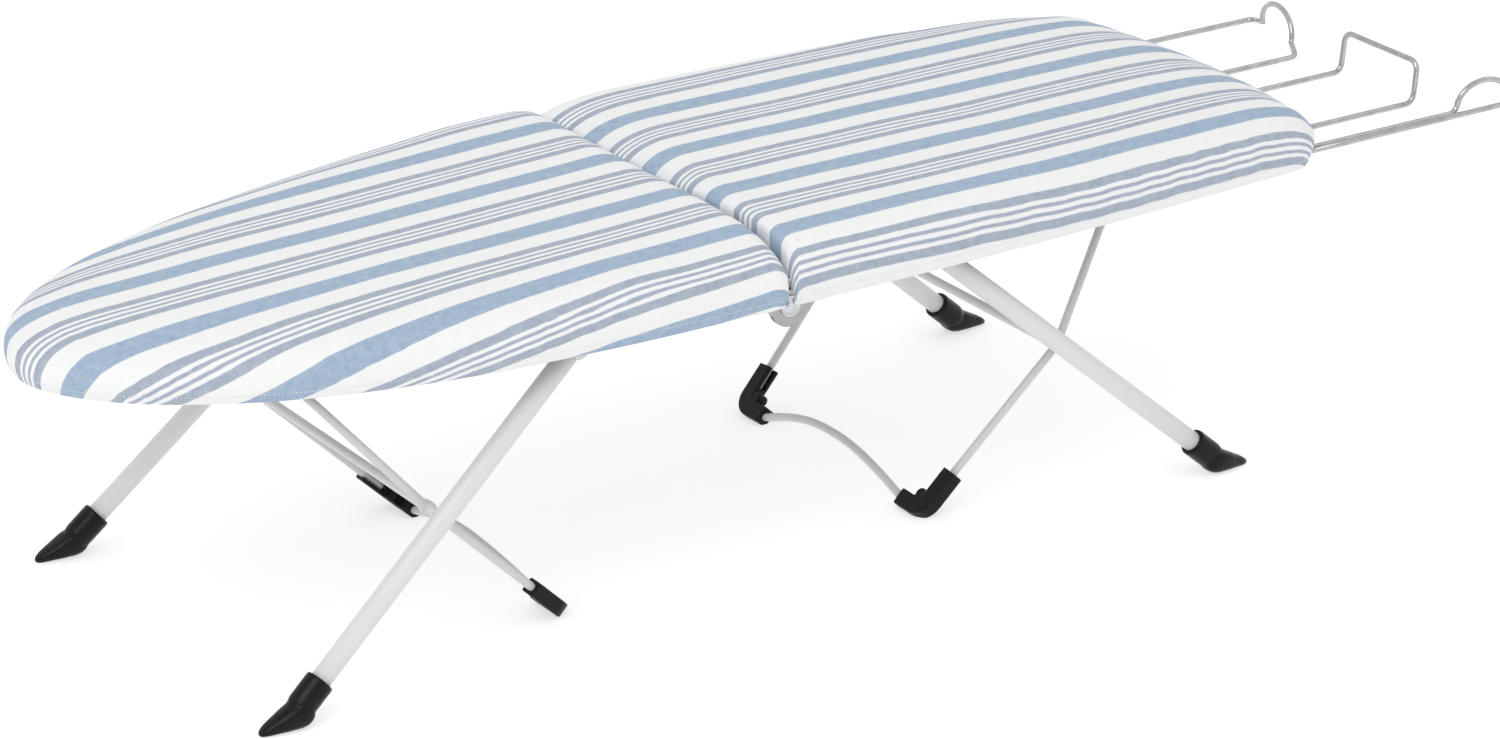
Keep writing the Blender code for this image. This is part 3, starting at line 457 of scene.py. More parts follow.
def round_corners(points, radius, steps):
    """Replace the inner corners of a polyline by arcs."""
    points = [Vector(point) for point in points]
    path = [points[0]]
    for before, corner, after in zip(points, points[1:], points[2:]):
        inward = (before - corner).normalized()
        outward = (after - corner).normalized()
        half_turn = inward.angle(outward) / 2
        shorter = min((before - corner).length, (after - corner).length)
        reach = min(radius / math.tan(half_turn), 0.49 * shorter)
        bend = reach * math.tan(half_turn)
        centre = corner + (inward + outward).normalized() * (bend / math.sin(half_turn))
        first = corner + inward * reach - centre
        last = corner + outward * reach - centre
        for k in range(steps + 1):
            path.append(centre + first.slerp(last, k / steps).normalized() * bend)
    path.append(points[-1])
    return path


def sweep(path, section, up=None):
    """The solid of a section, in (across, up) pairs, carried along a path."""
    path = [Vector(point) for point in path]
    rings = []
    normal = None
    last = None
    for i, point in enumerate(path):
        before = (point - path[i - 1]).normalized() if i else (path[1] - point).normalized()
        after = (path[i + 1] - point).normalized() if i < len(path) - 1 else before
        tangent = (before + after).normalized()
        if up is not None:
            normal = (Vector(up) - tangent * Vector(up).dot(tangent)).normalized()
        elif normal is None:
            normal = tangent.orthogonal().normalized()
        else:
            normal = last.rotation_difference(tangent) @ normal
        last = tangent
        across = tangent.cross(normal)
        mitre = 1 / max(0.6, before.dot(tangent))
        bend = after - before
        bend = bend - tangent * bend.dot(tangent)
        for a, b in section:
            spoke = across * a + normal * b
            if bend.length > 1e-6:
                outward = bend.normalized()
                spoke += outward * spoke.dot(outward) * (mitre - 1)
            rings.append(point + spoke)
    return rings, ring_faces(len(path), len(section))


def round_section(radius):
    """A circle as section pairs."""
    turns = [2 * math.pi * k / WIRE_SIDES for k in range(WIRE_SIDES)]
    return [(radius * math.cos(turn), radius * math.sin(turn)) for turn in turns]


def box_section(across, up, corner, steps=3):
    """A rounded rectangle as section pairs."""
    pairs = []
    for quarter, (sa, sb) in enumerate(((1, 1), (-1, 1), (-1, -1), (1, -1))):
        for k in range(steps + 1):
            angle = math.radians(90 * quarter + 90 * k / steps)
            pairs.append((sa * (across - corner) + corner * math.cos(angle),
                          sb * (up - corner) + corner * math.sin(angle)))
    return pairs


def mirrored(point, half, side):
    """A tail-half point with positive y moved to the given half and side."""
    x, y, z = point
    if half == "nose":
        x = -(x + NOSE_LEG_SHIFT)
    return Vector((x, side * y, z))


# ---- board outline

def half_width(half, x):
    """Half width at a distance x from the hinge."""
    if half == "nose":
        u = np.clip((x - NOSE_STRAIGHT) / (NOSE_LENGTH - NOSE_STRAIGHT), 0, 1)
        return HALF_WIDTH * (1 - u ** 2.6) ** 0.55
    u = np.clip((x - TAIL_STRAIGHT) / (TAIL_CORNER_X - TAIL_STRAIGHT), 0, 1)
    return HALF_WIDTH - (HALF_WIDTH - TAIL_END_HALF_WIDTH) * u ** 1.6


def side_edge(half):
    """One side of the outline from the hinge to the middle of the end, as (x, y)."""
    if half == "nose":
        s = np.linspace(0, 1, 260)
        x = NOSE_STRAIGHT + (NOSE_LENGTH - NOSE_STRAIGHT) * np.sin(0.5 * math.pi * s) ** 0.9
        edge = np.stack([x, half_width("nose", x)], 1)
        return np.vstack([[[0, HALF_WIDTH]], edge])
    x = np.linspace(0, TAIL_CORNER_X, 160)
    sides = np.stack([x, half_width("tail", x)], 1)
    end_y = TAIL_END_HALF_WIDTH - TAIL_CORNER_RADIUS
    end_x = TAIL_LENGTH - TAIL_END_BULGE
    angle = np.linspace(0, 0.5 * math.pi, 30)[1:]
    corner_x = TAIL_CORNER_X + (end_x - TAIL_CORNER_X) * np.sin(angle)
    corner_y = end_y + TAIL_CORNER_RADIUS * np.cos(angle)
    y = np.linspace(end_y, 0, 50)[1:]
    arc = np.stack([TAIL_LENGTH - TAIL_END_BULGE * (y / end_y) ** 2, y], 1)
    return np.vstack([sides, np.stack([corner_x, corner_y], 1), arc])


def closed_outline(half):
    """The loop round a half, evenly spaced, starting at the middle of the hinge edge."""
    edge = side_edge(half)
    turn = np.linspace(0, 0.5 * math.pi, 9)
    corner = np.stack([SEAM + HINGE_CORNER * (1 - np.cos(turn)),
                       HALF_WIDTH - HINGE_CORNER * (1 - np.sin(turn))], 1)
    edge = np.vstack([corner, edge[edge[:, 0] > SEAM + HINGE_CORNER + 0.5]])
    near = edge * (1, -1)
    far = edge[::-1][1:]
    start = np.array([[SEAM, 0.0]])
    loop = np.vstack([start, near, far, start])
    length = np.concatenate([[0], np.cumsum(np.linalg.norm(np.diff(loop, axis=0), axis=1))])
    count = int(round(length[-1] / RING_SPACING))
    at = np.linspace(0, length[-1], count, endpoint=False)
    loop = np.stack([np.interp(at, length, loop[:, 0]), np.interp(at, length, loop[:, 1])], 1)
    along = np.roll(loop, -2, axis=0) - np.roll(loop, 2, axis=0)
    normal = np.stack([along[:, 1], -along[:, 0]], 1)
    normal /= np.linalg.norm(normal, axis=1)[:, None]
    return loop, normal


def crown_middle(half):
    """The plan point that the cover's rings shrink towards."""
    return np.array([CROWN_AT * LENGTH[half], 0.0])


def distance_to(points, line):
    """Distance from each plan point to a polyline."""
    start = line[:-1]
    step = line[1:] - start
    square = (step ** 2).sum(1)
    nearest = np.empty(len(points))
    for low in range(0, len(points), 200):
        px = points[low:low + 200, 0, None] - start[:, 0]
        py = points[low:low + 200, 1, None] - start[:, 1]
        t = np.clip((px * step[:, 0] + py * step[:, 1]) / square, 0, 1)
        gap = (px - t * step[:, 0]) ** 2 + (py - t * step[:, 1]) ** 2
        nearest[low:low + 200] = np.sqrt(gap.min(1))
    return nearest


# ---- cover surface

NEAR_PROFILE = [(0, 217), (1, 218), (5, 221), (11, 223.8), (20, 226.4), (32, 229.6), (50, 232.2),
                (80, 233.8), (160, 234.2)]
EDGE_EXTRA = [(0, 5.4), (1, 6.2), (5, 8.0), (11, 8.3), (20, 6.8), (32, 4.3), (50, 1.8), (80, 0.2), (160, 0)]
FAR_FULLNESS = {
    "tail": [(0, 1.0), (250, 1.0), (300, 0.75), (340, 0.6), (370, 0.4), (400, 0.1), (425, 0.0), (460, 0.0)],
    "nose": [(0, 0.95), (70, 0.95), (110, 0.70), (170, 0.36), (250, 0.07), (330, 0.0), (460, 0.0)],
}
NEAR_FULLNESS = {
    "tail": [(0, 0.6), (30, 0.75), (100, 0.8), (200, 0.85), (300, 1.0), (380, 0.95), (415, 0.5), (440, 0.1),
             (460, 0.0)],
    "nose": [(0, 0.1), (60, 0.2), (120, 0.6), (200, 0.5), (280, 0.2), (350, 0.1), (460, 0.0)],
}
SEAM_LINE = {
    "tail": [(-163, 206), (-155, 218), (-146, 227), (-135, 233), (-118, 236.5), (-101, 237), (-78, 236.5),
             (-49, 235), (0, 231.5), (145, 230.5), (152, 227), (158, 216), (163, 203)],
    "nose": [(-163, 200), (-155, 209), (-146, 215.5), (-135, 222), (-118, 227), (-101, 229.5), (-78, 231),
             (-49, 231.5), (0, 230.5), (145, 230.5), (152, 227), (158, 216), (163, 203)],
}
SHOULDER_REACH = {
    "tail": [(-160, 7), (-110, 8), (-60, 13), (0, 25), (80, 46), (160, 52)],
    "nose": [(-160, 16), (-110, 17), (-60, 21), (0, 26), (160, 27)],
}
SWELL = 8.0
TAIL_SWELL_TO = 300.0


def cover_height(half, plan):
    """Height of the cover's top over plan points (distance from hinge, y)."""
    edge = side_edge(half)
    outer = np.vstack([[[-80, HALF_WIDTH]], edge])
    to_far = np.maximum(distance_to(plan, outer), 0.01)
    to_near = np.maximum(distance_to(plan, outer * (1, -1)), 0.01)
    reach = (to_far ** -6 + to_near ** -6) ** (-1 / 6)
    height = smooth_curve(NEAR_PROFILE, reach)
    x = plan[:, 0]
    if half == "tail":
        along = 1 - np.clip((x - TAIL_SWELL_TO) / (TAIL_LENGTH - TAIL_SWELL_TO), 0, 1) ** 3
    else:
        along = 1 - np.clip(x / NOSE_LENGTH, 0, 1)
    up = np.clip((height - 206) / 20, 0, 1)
    height = height + SWELL * along * up * up * (3 - 2 * up)
    height = height + smooth_curve(EDGE_EXTRA, to_far) * smooth_curve(FAR_FULLNESS[half], x)
    height = height + smooth_curve(EDGE_EXTRA, to_near) * smooth_curve(NEAR_FULLNESS[half], x)
    seam = smooth_curve(SEAM_LINE[half], plan[:, 1])
    t = np.clip((x - SEAM) / smooth_curve(SHOULDER_REACH[half], plan[:, 1]), 0, 1)
    rise = (1 - (1 - t) ** 2.3) ** 0.72
    seam = np.minimum(seam, height)
    return seam + (height - seam) * rise


def hem_rise(half, loop, normal):
    """How far the hem is lifted, and how much of it is turned under, round the loop."""
    x, y = loop[:, 0], loop[:, 1]
    lift = np.zeros(len(loop))
    if half == "tail":
        at_end = np.clip((x - 425) / 12, 0, 1)
        for run in REST_RUNS:
            width = 11.0 if run != REST_RUNS[-1] else 13.0
            lift = np.maximum(lift, 9.5 * at_end * np.exp(-((y - run) / width) ** 4))
    on_hinge = np.clip((-normal[:, 0] - 0.75) / 0.2, 0, 1)
    plates = np.clip((np.abs(y) - 137) / 4, 0, 1)
    lift = lift + on_hinge * plates * 16.5
    turned_under = np.clip((x - 27) / 8, 0, 1) * np.clip(1 - lift / 3, 0.2, 1)
    return lift, turned_under


def cover_rings(half):
    """Rings of the cover's outside from the turned-under hem to the crown, with cloth coordinates."""
    loop, normal = closed_outline(half)
    lift, turned_under = hem_rise(half, loop, normal)
    outward = 1 - np.clip((-normal[:, 0] - 0.15) / 0.75, 0, 1)
    spread = normal * outward[:, None]
    levels = [(10.0, 197.6, 1), (7.5, 197.2, 1), (5.0, 196.5, 1), (3.0, 195.9, 1), (1.6, 195.6, 1),
              (0.4, 195.8, 0), (-0.4, 196.9, 0), (-1.3, 198.6, 0), (-2.1, 200.8, 0), (-2.8, 203.4, 0),
              (-3.2, 206, 0), (-3.1, 208.5, 0), (-2.7, 211, 0), (-2.0, 213.3, 0), (-1.0, 215.6, 0)]
    insets = np.append([0.2, 1.0, 2.0, 3.2, 4.8, 6.8, 9.2, 12, 15, 18, 21], np.linspace(24.5, 147, 36))
    middle = crown_middle(half)
    plans = [loop + (middle - loop) * d / HALF_WIDTH for d in insets]
    tops = []
    for plan in plans:
        plan[:, 0] = np.maximum(plan[:, 0], SEAM)
        tops.append(np.column_stack([plan, cover_height(half, plan)]))
    shoulder = tops[0][:, 2]
    rings = []
    for inset, z, under in levels:
        inset = np.full(len(loop), inset)
        if under:
            inset = 0.4 + (inset - 0.4) * turned_under
        plan = loop - spread * inset[:, None]
        plan[:, 0] = np.maximum(plan[:, 0], SEAM)
        share = (z - HEM_Z) / (SHOULDER_Z - 1 - HEM_Z)
        foot = np.minimum(HEM_Z + lift, shoulder - 1.5)
        height = foot + share * (shoulder - foot) if z > HEM_Z else foot + (z - HEM_Z)
        rings.append(np.column_stack([plan, height]))
    return rings + tops, normal, len(levels)


def across_cloth(half, plan):
    """Cloth length from the middle line out to each plan point, measured over the crown."""
    x = np.arange(0, LENGTH[half] + 8, 8.0)
    y = np.linspace(0, HALF_WIDTH + 1, 105)
    total = np.zeros(len(plan))
    column = np.clip(plan[:, 0] / x[1], 0, len(x) - 1.001)
    row = np.clip(np.abs(plan[:, 1]) / y[1], 0, len(y) - 1.001)
    i, j = column.astype(int), row.astype(int)
    a, b = column - i, row - j
    for side in (1, -1):
        gx, gy = np.meshgrid(x, y * side, indexing="ij")
        edge = np.maximum(half_width(half, gx) - 0.5, 0)
        gy = side * np.minimum(np.abs(gy), edge)
        height = cover_height(half, np.stack([gx.ravel(), gy.ravel()], 1)).reshape(gx.shape)
        step = np.hypot(y[1], np.diff(height, axis=1))
        length = np.hstack([np.zeros((len(x), 1)), np.cumsum(step, axis=1)])
        found = ((1 - a) * ((1 - b) * length[i, j] + b * length[i, j + 1])
                 + a * ((1 - b) * length[i + 1, j] + b * length[i + 1, j + 1]))
        total = np.where(plan[:, 1] * side >= 0, side * found, total)
    return total


def cloth_coordinates(half, rings, normal, sides):
    """Flattened cloth position of every ring point: over the crown, then down the side."""
    flat = [None] * len(rings)
    drop = np.zeros(len(normal))
    tops = np.vstack(rings[sides:])
    tops = np.column_stack([tops[:, 0], across_cloth(half, tops[:, :2])])
    flat[sides:] = np.split(tops, len(rings) - sides)
    for k in range(sides - 1, -1, -1):
        drop = drop + np.linalg.norm(rings[k] - rings[k + 1], axis=1)
        flat[k] = flat[sides] + normal * drop[:, None]
    return flat


def cloth_waves(x, y, seed):
    """Slow unevenness of stretched cloth over foam, in millimetres."""
    rng = np.random.RandomState(seed)
    total = np.zeros(len(x))
    for _ in range(14):
        length = rng.uniform(45, 150)
        angle = rng.uniform(0, math.pi)
        phase = rng.uniform(0, 2 * math.pi)
        run = x * math.cos(angle) + y * math.sin(angle)
        total += np.sin(2 * math.pi * run / length + phase) * length / 150
    return total / 6


def make_cover(half):
    """The fitted cloth cover of a half."""
    sign = SIGN[half]
    rings, normal, sides = cover_rings(half)
    flat = cloth_coordinates(half, rings, normal, sides)
    count = len(normal)
    seed = 3 if half == "tail" else 8
    for k, ring in enumerate(rings):
        ease = np.clip((ring[:, 0] - 6) / 40, 0, 1)
        waves = cloth_waves(ring[:, 0], ring[:, 1], seed)
        if k >= sides:
            ring[:, 2] += 0.45 * waves * ease
        else:
            ring[:, :2] += normal * (0.35 * waves * ease)[:, None]
    points = np.vstack(rings)
    points[:, 0] *= sign
    uv = np.vstack(flat) * 0.001
    uv[:, 0] *= sign
    faces = ring_faces(len(rings), count, False)
    faces = faces[:-1] + centre_fan(faces[-1], len(points))
    points = np.vstack([points, rings[-1].mean(0) * (sign, 1, 1)])
    uv = np.vstack([uv, flat[-1].mean(0) * (sign * 0.001, 0.001)])
    if sign < 0:
        faces = [tuple(reversed(face)) for face in faces]
    piece = make_piece(half + "_cloth_cover", (points, faces), half + "_cover", half + "_half",
                       [half + "_cover"], True, uv)
    skin = piece.modifiers.new("cloth_thickness", "SOLIDIFY")
    skin.thickness = CLOTH_THICKNESS * 0.001
    skin.offset = -1
    return piece, rings, normal, sides


def make_pad(half, loop):
    """The foam pad: the cover's own form drawn in by the cloth and laid on the deck."""
    sign = SIGN[half]
    middle = crown_middle(half)
    base = DECK_TOP + 0.4
    start = np.full(len(loop), 0.024)
    for share in np.linspace(0.0, 0.5, 41):
        plan = loop + (middle - loop) * share
        low = cover_height(half, plan) - PAD_CLEARANCE < base + 1.2
        start = np.where(low, np.maximum(start, share + 0.0125), start)
    for _ in range(3):
        start = np.maximum(start, 0.5 * (np.roll(start, 1) + np.roll(start, -1)))
    solid = []
    steps = np.concatenate([[0, 0], np.linspace(0, 1, 46)[1:] ** 1.35])
    for k, step in enumerate(steps):
        share = start + (0.95 - start) * step
        plan = loop + (middle - loop) * share[:, None]
        plan[:, 0] = np.maximum(plan[:, 0], SEAM + 2)
        height = np.full(len(loop), base)
        if k:
            height = np.maximum(cover_height(half, plan) - PAD_CLEARANCE, base + 0.8)
        solid.append(np.column_stack([plan, height]))
    points = np.vstack(solid)
    points[:, 0] *= sign
    faces = ring_faces(len(solid), len(loop))
    if sign < 0:
        faces = [tuple(reversed(face)) for face in faces]
    return make_piece(half + "_foam_pad", (points, faces), "foam", half + "_half", [half + "_pad"])


def make_stitches(half, rings, normal):
    """The sewn line above the hem."""
    sign = SIGN[half]
    low, high = rings[7], rings[9]
    line = 0.5 * (low + high) + np.column_stack([normal * 0.15, np.zeros(len(normal))])
    solids = []
    for i in range(len(line)):
        if normal[i, 0] < -0.3:
            continue
        j = (i + 1) % len(line)
        start = Vector(line[i]).lerp(Vector(line[j]), 0.14)
        end = Vector(line[i]).lerp(Vector(line[j]), 0.86)
        side = Vector((normal[i, 0], normal[i, 1], 0)) * 0.22
        up = Vector((0, 0, 0.26))
        middle = (start + end) / 2
        points = [start, middle + side + up, middle - side + up, middle - side - up, middle + side - up, end]
        faces = [(0, 1, 2), (0, 2, 3), (0, 3, 4), (0, 4, 1), (5, 2, 1), (5, 3, 2), (5, 4, 3), (5, 1, 4)]
        solids.append(([(p.x * sign, p.y, p.z) for p in points], faces))
    return make_piece(half + "_hem_stitching", join_solids(solids), "thread", half + "_half", ())


for half in ("tail", "nose"):
    cover, rings, normal, sides = make_cover(half)
    pad = make_pad(half, closed_outline(half)[0])
    stitches = make_stitches(half, rings, normal)


# ---- legs and wires

NOSE_LEG_SHIFT = 11.5
LEG_PIVOT = Vector((131.9, 128.6, 192))
LEG_FOOT = Vector((352.5, 150, 0.8))
TUBE_RADIUS = 6.7
CROSSING_Z = 105.3
BRACE_RADIUS = 2.75
BRACE_CROSSING_Y = 119.0
BRACE_FOOT = Vector((136.5, 105.4, 5.1))
NOSE_BRACE_FOOT_SHIFT = Vector((-7, -3, 0))
BRACE_SHOULDER = Vector((293.3, 89.3, 179.1))
BRACE_TOP = Vector((306.5, 62, 195))
BRACE_HOOK_Y = 48.0
BRACE_EYE = [(0, 3.9), (0.4, 4.6), (4.2, 4.6), (4.6, 3.9)]
AXLE_RADIUS = 3.0
AXLE_WASHER = [(0, 4.0), (0.25, 4.4), (0.95, 4.4), (1.2, 4.0)]
ARCH_HEIGHT = 19.5
NOSE_ARCH_LEAN = 9.5
NOSE_ARCH_SHARE = 0.85
CLIP_ROD_ARM = 31.0
CLIP_ARCH_ARM = 24.0
TOE_X = 369.5


def tube_point(z):
    """Point of the leg tube's axis at a height, on the far side of the tail half."""
    return LEG_FOOT.lerp(LEG_PIVOT, (z - LEG_FOOT.z) / (LEG_PIVOT.z - LEG_FOOT.z))


def brace_foot(half):
    """The far floor corner of a brace, before mirroring."""
    return BRACE_FOOT + (NOSE_BRACE_FOOT_SHIFT if half == "nose" else Vector((0, 0, 0)))


def brace_crossing():
    """Where the brace's far rod passes the cross axle."""
    return Vector((tube_point(CROSSING_Z).x, BRACE_CROSSING_Y, CROSSING_Z))


def arch_start(half):
    """Where the floor arch leaves the straight wire of a corner clip."""
    return brace_foot(half) - Vector((0, CLIP_ARCH_ARM - 1, 0))


def brace_path(half):
    """The whole wire of a brace, from the near hook over the floor arch to the far hook."""
    crossing = brace_crossing()
    corner = brace_foot(half)
    hook = Vector((BRACE_TOP.x, BRACE_HOOK_Y, BRACE_TOP.z))
    rod = round_corners([hook, BRACE_TOP, BRACE_SHOULDER], 5, 6)[:-1]
    rod += round_corners([rod[-1], BRACE_SHOULDER, crossing], 20, 6)[1:-1]
    rod += round_corners([BRACE_SHOULDER, crossing, corner], 20, 4)[1:-1]
    foot = round_corners([crossing, corner, arch_start(half)], 9, 10)[1:-1]
    arch = []
    reach = arch_start(half).y
    lean, height = (NOSE_ARCH_LEAN, NOSE_ARCH_SHARE) if half == "nose" else (0, 1)
    for k in range(19):
        y = reach * math.cos(0.5 * math.pi * k / 18)
        lift = (1 - (y / reach) ** 2) ** 1.2
        x = corner.x - 2 * (1 - y / reach) + lean * lift
        arch.append(Vector((x, y, corner.z + ARCH_HEIGHT * height * lift)))
    side = rod + foot + arch
    near = [mirrored(p, half, -1) for p in side]
    far = [mirrored(p, half, 1) for p in reversed(side[:-1])]
    return near + far


def make_legs(half, side):
    """A leg tube with rounded ends."""
    tag = SIDE_NAME[side]
    top = mirrored(tube_point(LEG_PIVOT.z + 6), half, side)
    bottom = mirrored(tube_point(11), half, side)
    axis = (bottom - top).normalized()
    length = (bottom - top).length
    r = TUBE_RADIUS
    profile = [(0.6, r - 1.6), (0, r - 1.2), (0, r - 0.5), (0.5, r), (length * 0.5, r), (length - 1, r),
               (length, r - 1.2)]
    make_piece(f"{half}_leg_tube_{tag}", turned(top, axis, profile, 40), "paint", half + "_legs",
               [f"{half}_leg_{tag}"])


def rivet_profile(shank, head, length, dome):
    """(distance, radius) pairs of a rivet with domed heads at both ends."""
    pairs = [(-dome, head * 0.35), (-dome * 0.8, head * 0.68), (-dome * 0.4, head * 0.92), (0, head)]
    pairs += [(0.01, shank), (length - 0.01, shank), (length, head), (length + dome * 0.4, head * 0.92)]
    pairs += [(length + dome * 0.8, head * 0.68), (length + dome, head * 0.35)]
    return pairs


def make_rivets():
    """Pivot rivets of the legs and of the board hinge."""
    for half in ("tail", "nose"):
        for side in (-1, 1):
            tag = SIDE_NAME[side]
            centre = mirrored(LEG_PIVOT, half, side)
            start = centre + Vector((0, side * -11.2, 0))
            rivet = turned(start, (0, side, 0), rivet_profile(4, 6.3, 18.6, 1.4), 32)
            make_piece(f"{half}_pivot_rivet_{tag}", rivet, "zinc", half + "_half",
                       [f"{half}_leg_pin_{tag}"])
    for side in (-1, 1):
        tag = SIDE_NAME[side]
        face = HALF_WIDTH - 4.4
        profile = [(-4.9, 3.6), (-4.7, 4.6), (-3.6, 5), (-3.59, 3), (1.79, 3), (1.8, 7.2), (2.2, 7.25),
                   (2.6, 6.9), (2.75, 6.2), (2.5, 5.7), (1.95, 5.2), (1.9, 3.4), (2.3, 2.9), (2.5, 2.2),
                   (2.5, 0.4)]
        rivet = turned((0, side * face, HINGE_Z), (0, side, 0), profile, 48)
        make_piece("hinge_rivet_" + tag, rivet, "zinc", "tail_half", ["hinge_pin_" + tag])


def make_moulding(name, solids, look, body, node, voxel, rounds, cutters):
    """Overlapping closed solids melted into one plastic moulding, with closed solids cut out of it."""
    piece = make_piece(name, join_solids(solids), look, body, [node])
    melt = piece.modifiers.new("melt", "REMESH")
    melt.mode = "VOXEL"
    melt.voxel_size = voxel * 0.001
    melt.use_smooth_shade = True
    soften = piece.modifiers.new("soften", "SMOOTH")
    soften.factor = 0.5
    soften.iterations = rounds
    apply_modifiers(piece)
    for k, cutter in enumerate(cutters):
        cut_from(piece, cutter, f"{name}_trim{k}")
    for polygon in piece.data.polygons:
        polygon.use_smooth = True


def apply_modifiers(piece):
    """Replace a piece's mesh with its evaluated one."""
    graph = bpy.context.evaluated_depsgraph_get()
    fresh = bpy.data.meshes.new_from_object(piece.evaluated_get(graph), depsgraph=graph)
    old = piece.data
    piece.modifiers.clear()
    piece.data = fresh
    if not fresh.materials:
        for material in old.materials:
            fresh.materials.append(material)
    bpy.data.meshes.remove(old)


def cut_from(piece, cutter, name):
    """Subtract a closed solid from a piece."""
    points, faces = cutter
    mesh = bpy.data.meshes.new(name)
    mesh.from_pydata([tuple(p) for p in place(points)], [], faces)
    face_outwards(mesh)
    tool = bpy.data.objects.new(name, mesh)
    bpy.context.collection.objects.link(tool)
    cut = piece.modifiers.new(name, "BOOLEAN")
    cut.operation = "DIFFERENCE"
    cut.solver = "EXACT"
    cut.object = tool
    apply_modifiers(piece)
    bpy.data.objects.remove(tool, do_unlink=True)


def shoe_solids(half, side):
    """Collar, boat-shaped sole and raised toe of a shoe."""
    # Distance from the toe, half width, underside and top of each section of the sole.
    sections = [(0.4, 1.2, 0.6, 2.6), (1.6, 3.0, 0.1, 3.8), (4, 4.4, 0, 5.6), (7, 5.4, 0, 7.4),
                (10, 6.1, 0, 9.0), (13, 6.8, 0, 10.6), (17, 7.9, 0, 12.8), (22, 8.7, 0, 15.4),
                (27, 9.1, 0, 17.2), (31, 8.9, 0.8, 17.0), (34, 8.0, 2.6, 15.6), (36, 6.2, 5.0, 13.4)]
    rings = []
    sides = 28
    for x, width, low, high in sections:
        for k in range(sides):
            angle = 2 * math.pi * (k + 0.5) / sides
            across = math.copysign(abs(math.cos(angle)) ** 0.75, math.cos(angle)) * width
            upward = math.copysign(abs(math.sin(angle)) ** 0.75, math.sin(angle))
            z = (low + high + upward * (high - low)) / 2
            rings.append(mirrored((TOE_X - x, LEG_FOOT.y + across, z), half, side))
    boat = (rings, ring_faces(len(sections), sides))
    start = mirrored(tube_point(8.5), half, side)
    axis = (mirrored(tube_point(60), half, side) - start).normalized()
    collar = turned(start, axis, [(0, 6.0), (1.5, 8.2), (6, 9.3), (23.5, 9.35), (24.6, 9.2), (25.2, 8.7)], 40)
    return [boat, collar], start, axis


def make_shoe(half, side):
    """The moulded shoe at the foot of a leg."""
    tag = SIDE_NAME[side]
    solids, start, axis = shoe_solids(half, side)
    bore = turned(start + axis * 5, axis, [(0, TUBE_RADIUS + 0.15), (60, TUBE_RADIUS + 0.15)], 40)
    centre = mirrored((TOE_X - 20, LEG_FOOT.y, 0), half, side)
    cutters = [block(centre + Vector((-40, -30, -20)), centre + Vector((40, 30, 0))), bore]
    for k in range(4):
        at = mirrored((TOE_X - 14 - 4 * k, LEG_FOOT.y, 0), half, side)
        cutters.append(block(at + Vector((-0.7, -12, -1)), at + Vector((0.7, 12, 0.8))))
    make_moulding(f"{half}_shoe_{tag}", solids, "shoe", half + "_legs",
                  f"{half}_foot_{tag}", 0.75, 4, cutters)


def make_brace(half):
    """The bent wire brace with the two eyes that the cross axle passes through."""
    solids = [sweep(brace_path(half), round_section(BRACE_RADIUS))]
    for side in (-1, 1):
        centre = mirrored(brace_crossing(), half, side) - Vector((0, side * 2.3, 0))
        solids.append(turned(centre, (0, side, 0), BRACE_EYE, 32))
    make_piece(half + "_brace_rod", join_solids(solids), "wire_paint", half + "_brace",
               [half + "_brace_wire"])


def make_axle(half):
    """The cross axle with its spring washers beside the brace."""
    crossing = tube_point(CROSSING_Z)
    near = mirrored((crossing.x, crossing.y - 1, crossing.z), half, -1)
    width = 2 * (crossing.y - 1)
    profile = [(0, 2.6), (0.5, AXLE_RADIUS), (width - 0.5, AXLE_RADIUS), (width, 2.6)]
    solids = [turned(near, (0, 1, 0), profile, 28)]
    for side in (-1, 1):
        for offset in (3.2, -4.4):
            centre = mirrored(brace_crossing(), half, side) + Vector((0, side * offset, 0))
            solids.append(turned(centre, (0, side, 0), AXLE_WASHER, 28))
    make_piece(half + "_axle_rod", join_solids(solids), "paint", half + "_legs",
               [half + "_cross_axle"])


def make_clip(half, side):
    """The moulded corner clip: two square-ended arms, a stop nub and an open channel for the wire."""
    tag = SIDE_NAME[side]
    corner = mirrored(brace_foot(half), half, side)
    rod_way = (mirrored(brace_crossing(), half, side) - corner).normalized()
    arch_way = (mirrored(arch_start(half), half, side) - corner).normalized()
    face = rod_way.cross(arch_way).normalized()
    bisector = (rod_way + arch_way).normalized()
    bend = [corner + arch_way * CLIP_ARCH_ARM, corner - bisector * 1.0, corner + rod_way * CLIP_ROD_ARM]
    path = round_corners(bend, 9, 8)
    body = sweep(path, box_section(5.9, 5.0, 1.0), face)
    inside = corner + arch_way * 8.4 + rod_way * 8.4
    nub = turned(inside - face * 4.6, face, [(0, 3.4), (0.6, 4.2), (8.6, 4.2), (9.2, 3.4)], 28)
    web = turned(corner + bisector * 5 - face * 4.2, face, [(0, 6.0), (8.4, 6.0)], 28)
    channel_path = round_corners([corner + arch_way * 60, corner, corner + rod_way * 60], 9, 8)
    channel = sweep(channel_path, round_section(BRACE_RADIUS + 0.25))
    slot = sweep([corner + rod_way * 12 + bisector * 4, corner + rod_way * 50 + bisector * 4],
                 box_section(2.3, 4.2, 0.4), bisector)
    below = block(corner + Vector((-60, -60, -30 - corner.z)), corner + Vector((60, 60, -corner.z)))
    make_moulding(f"{half}_corner_clip_{tag}", [body, nub, web], "clip", half + "_brace",
                  f"{half}_corner_foot_{tag}", 0.6, 2, [below, channel, slot])


for half in ("tail", "nose"):
    for side in (-1, 1):
        make_legs(half, side)
        make_shoe(half, side)
        make_clip(half, side)
    make_brace(half)
    make_axle(half)
make_rivets()


# ---- hinge lugs

LUG_THICKNESS = 1.5
LUG_EYE_RADIUS = 13.5
LUG_INSET = {"tail": 6.2, "nose": 2.9}


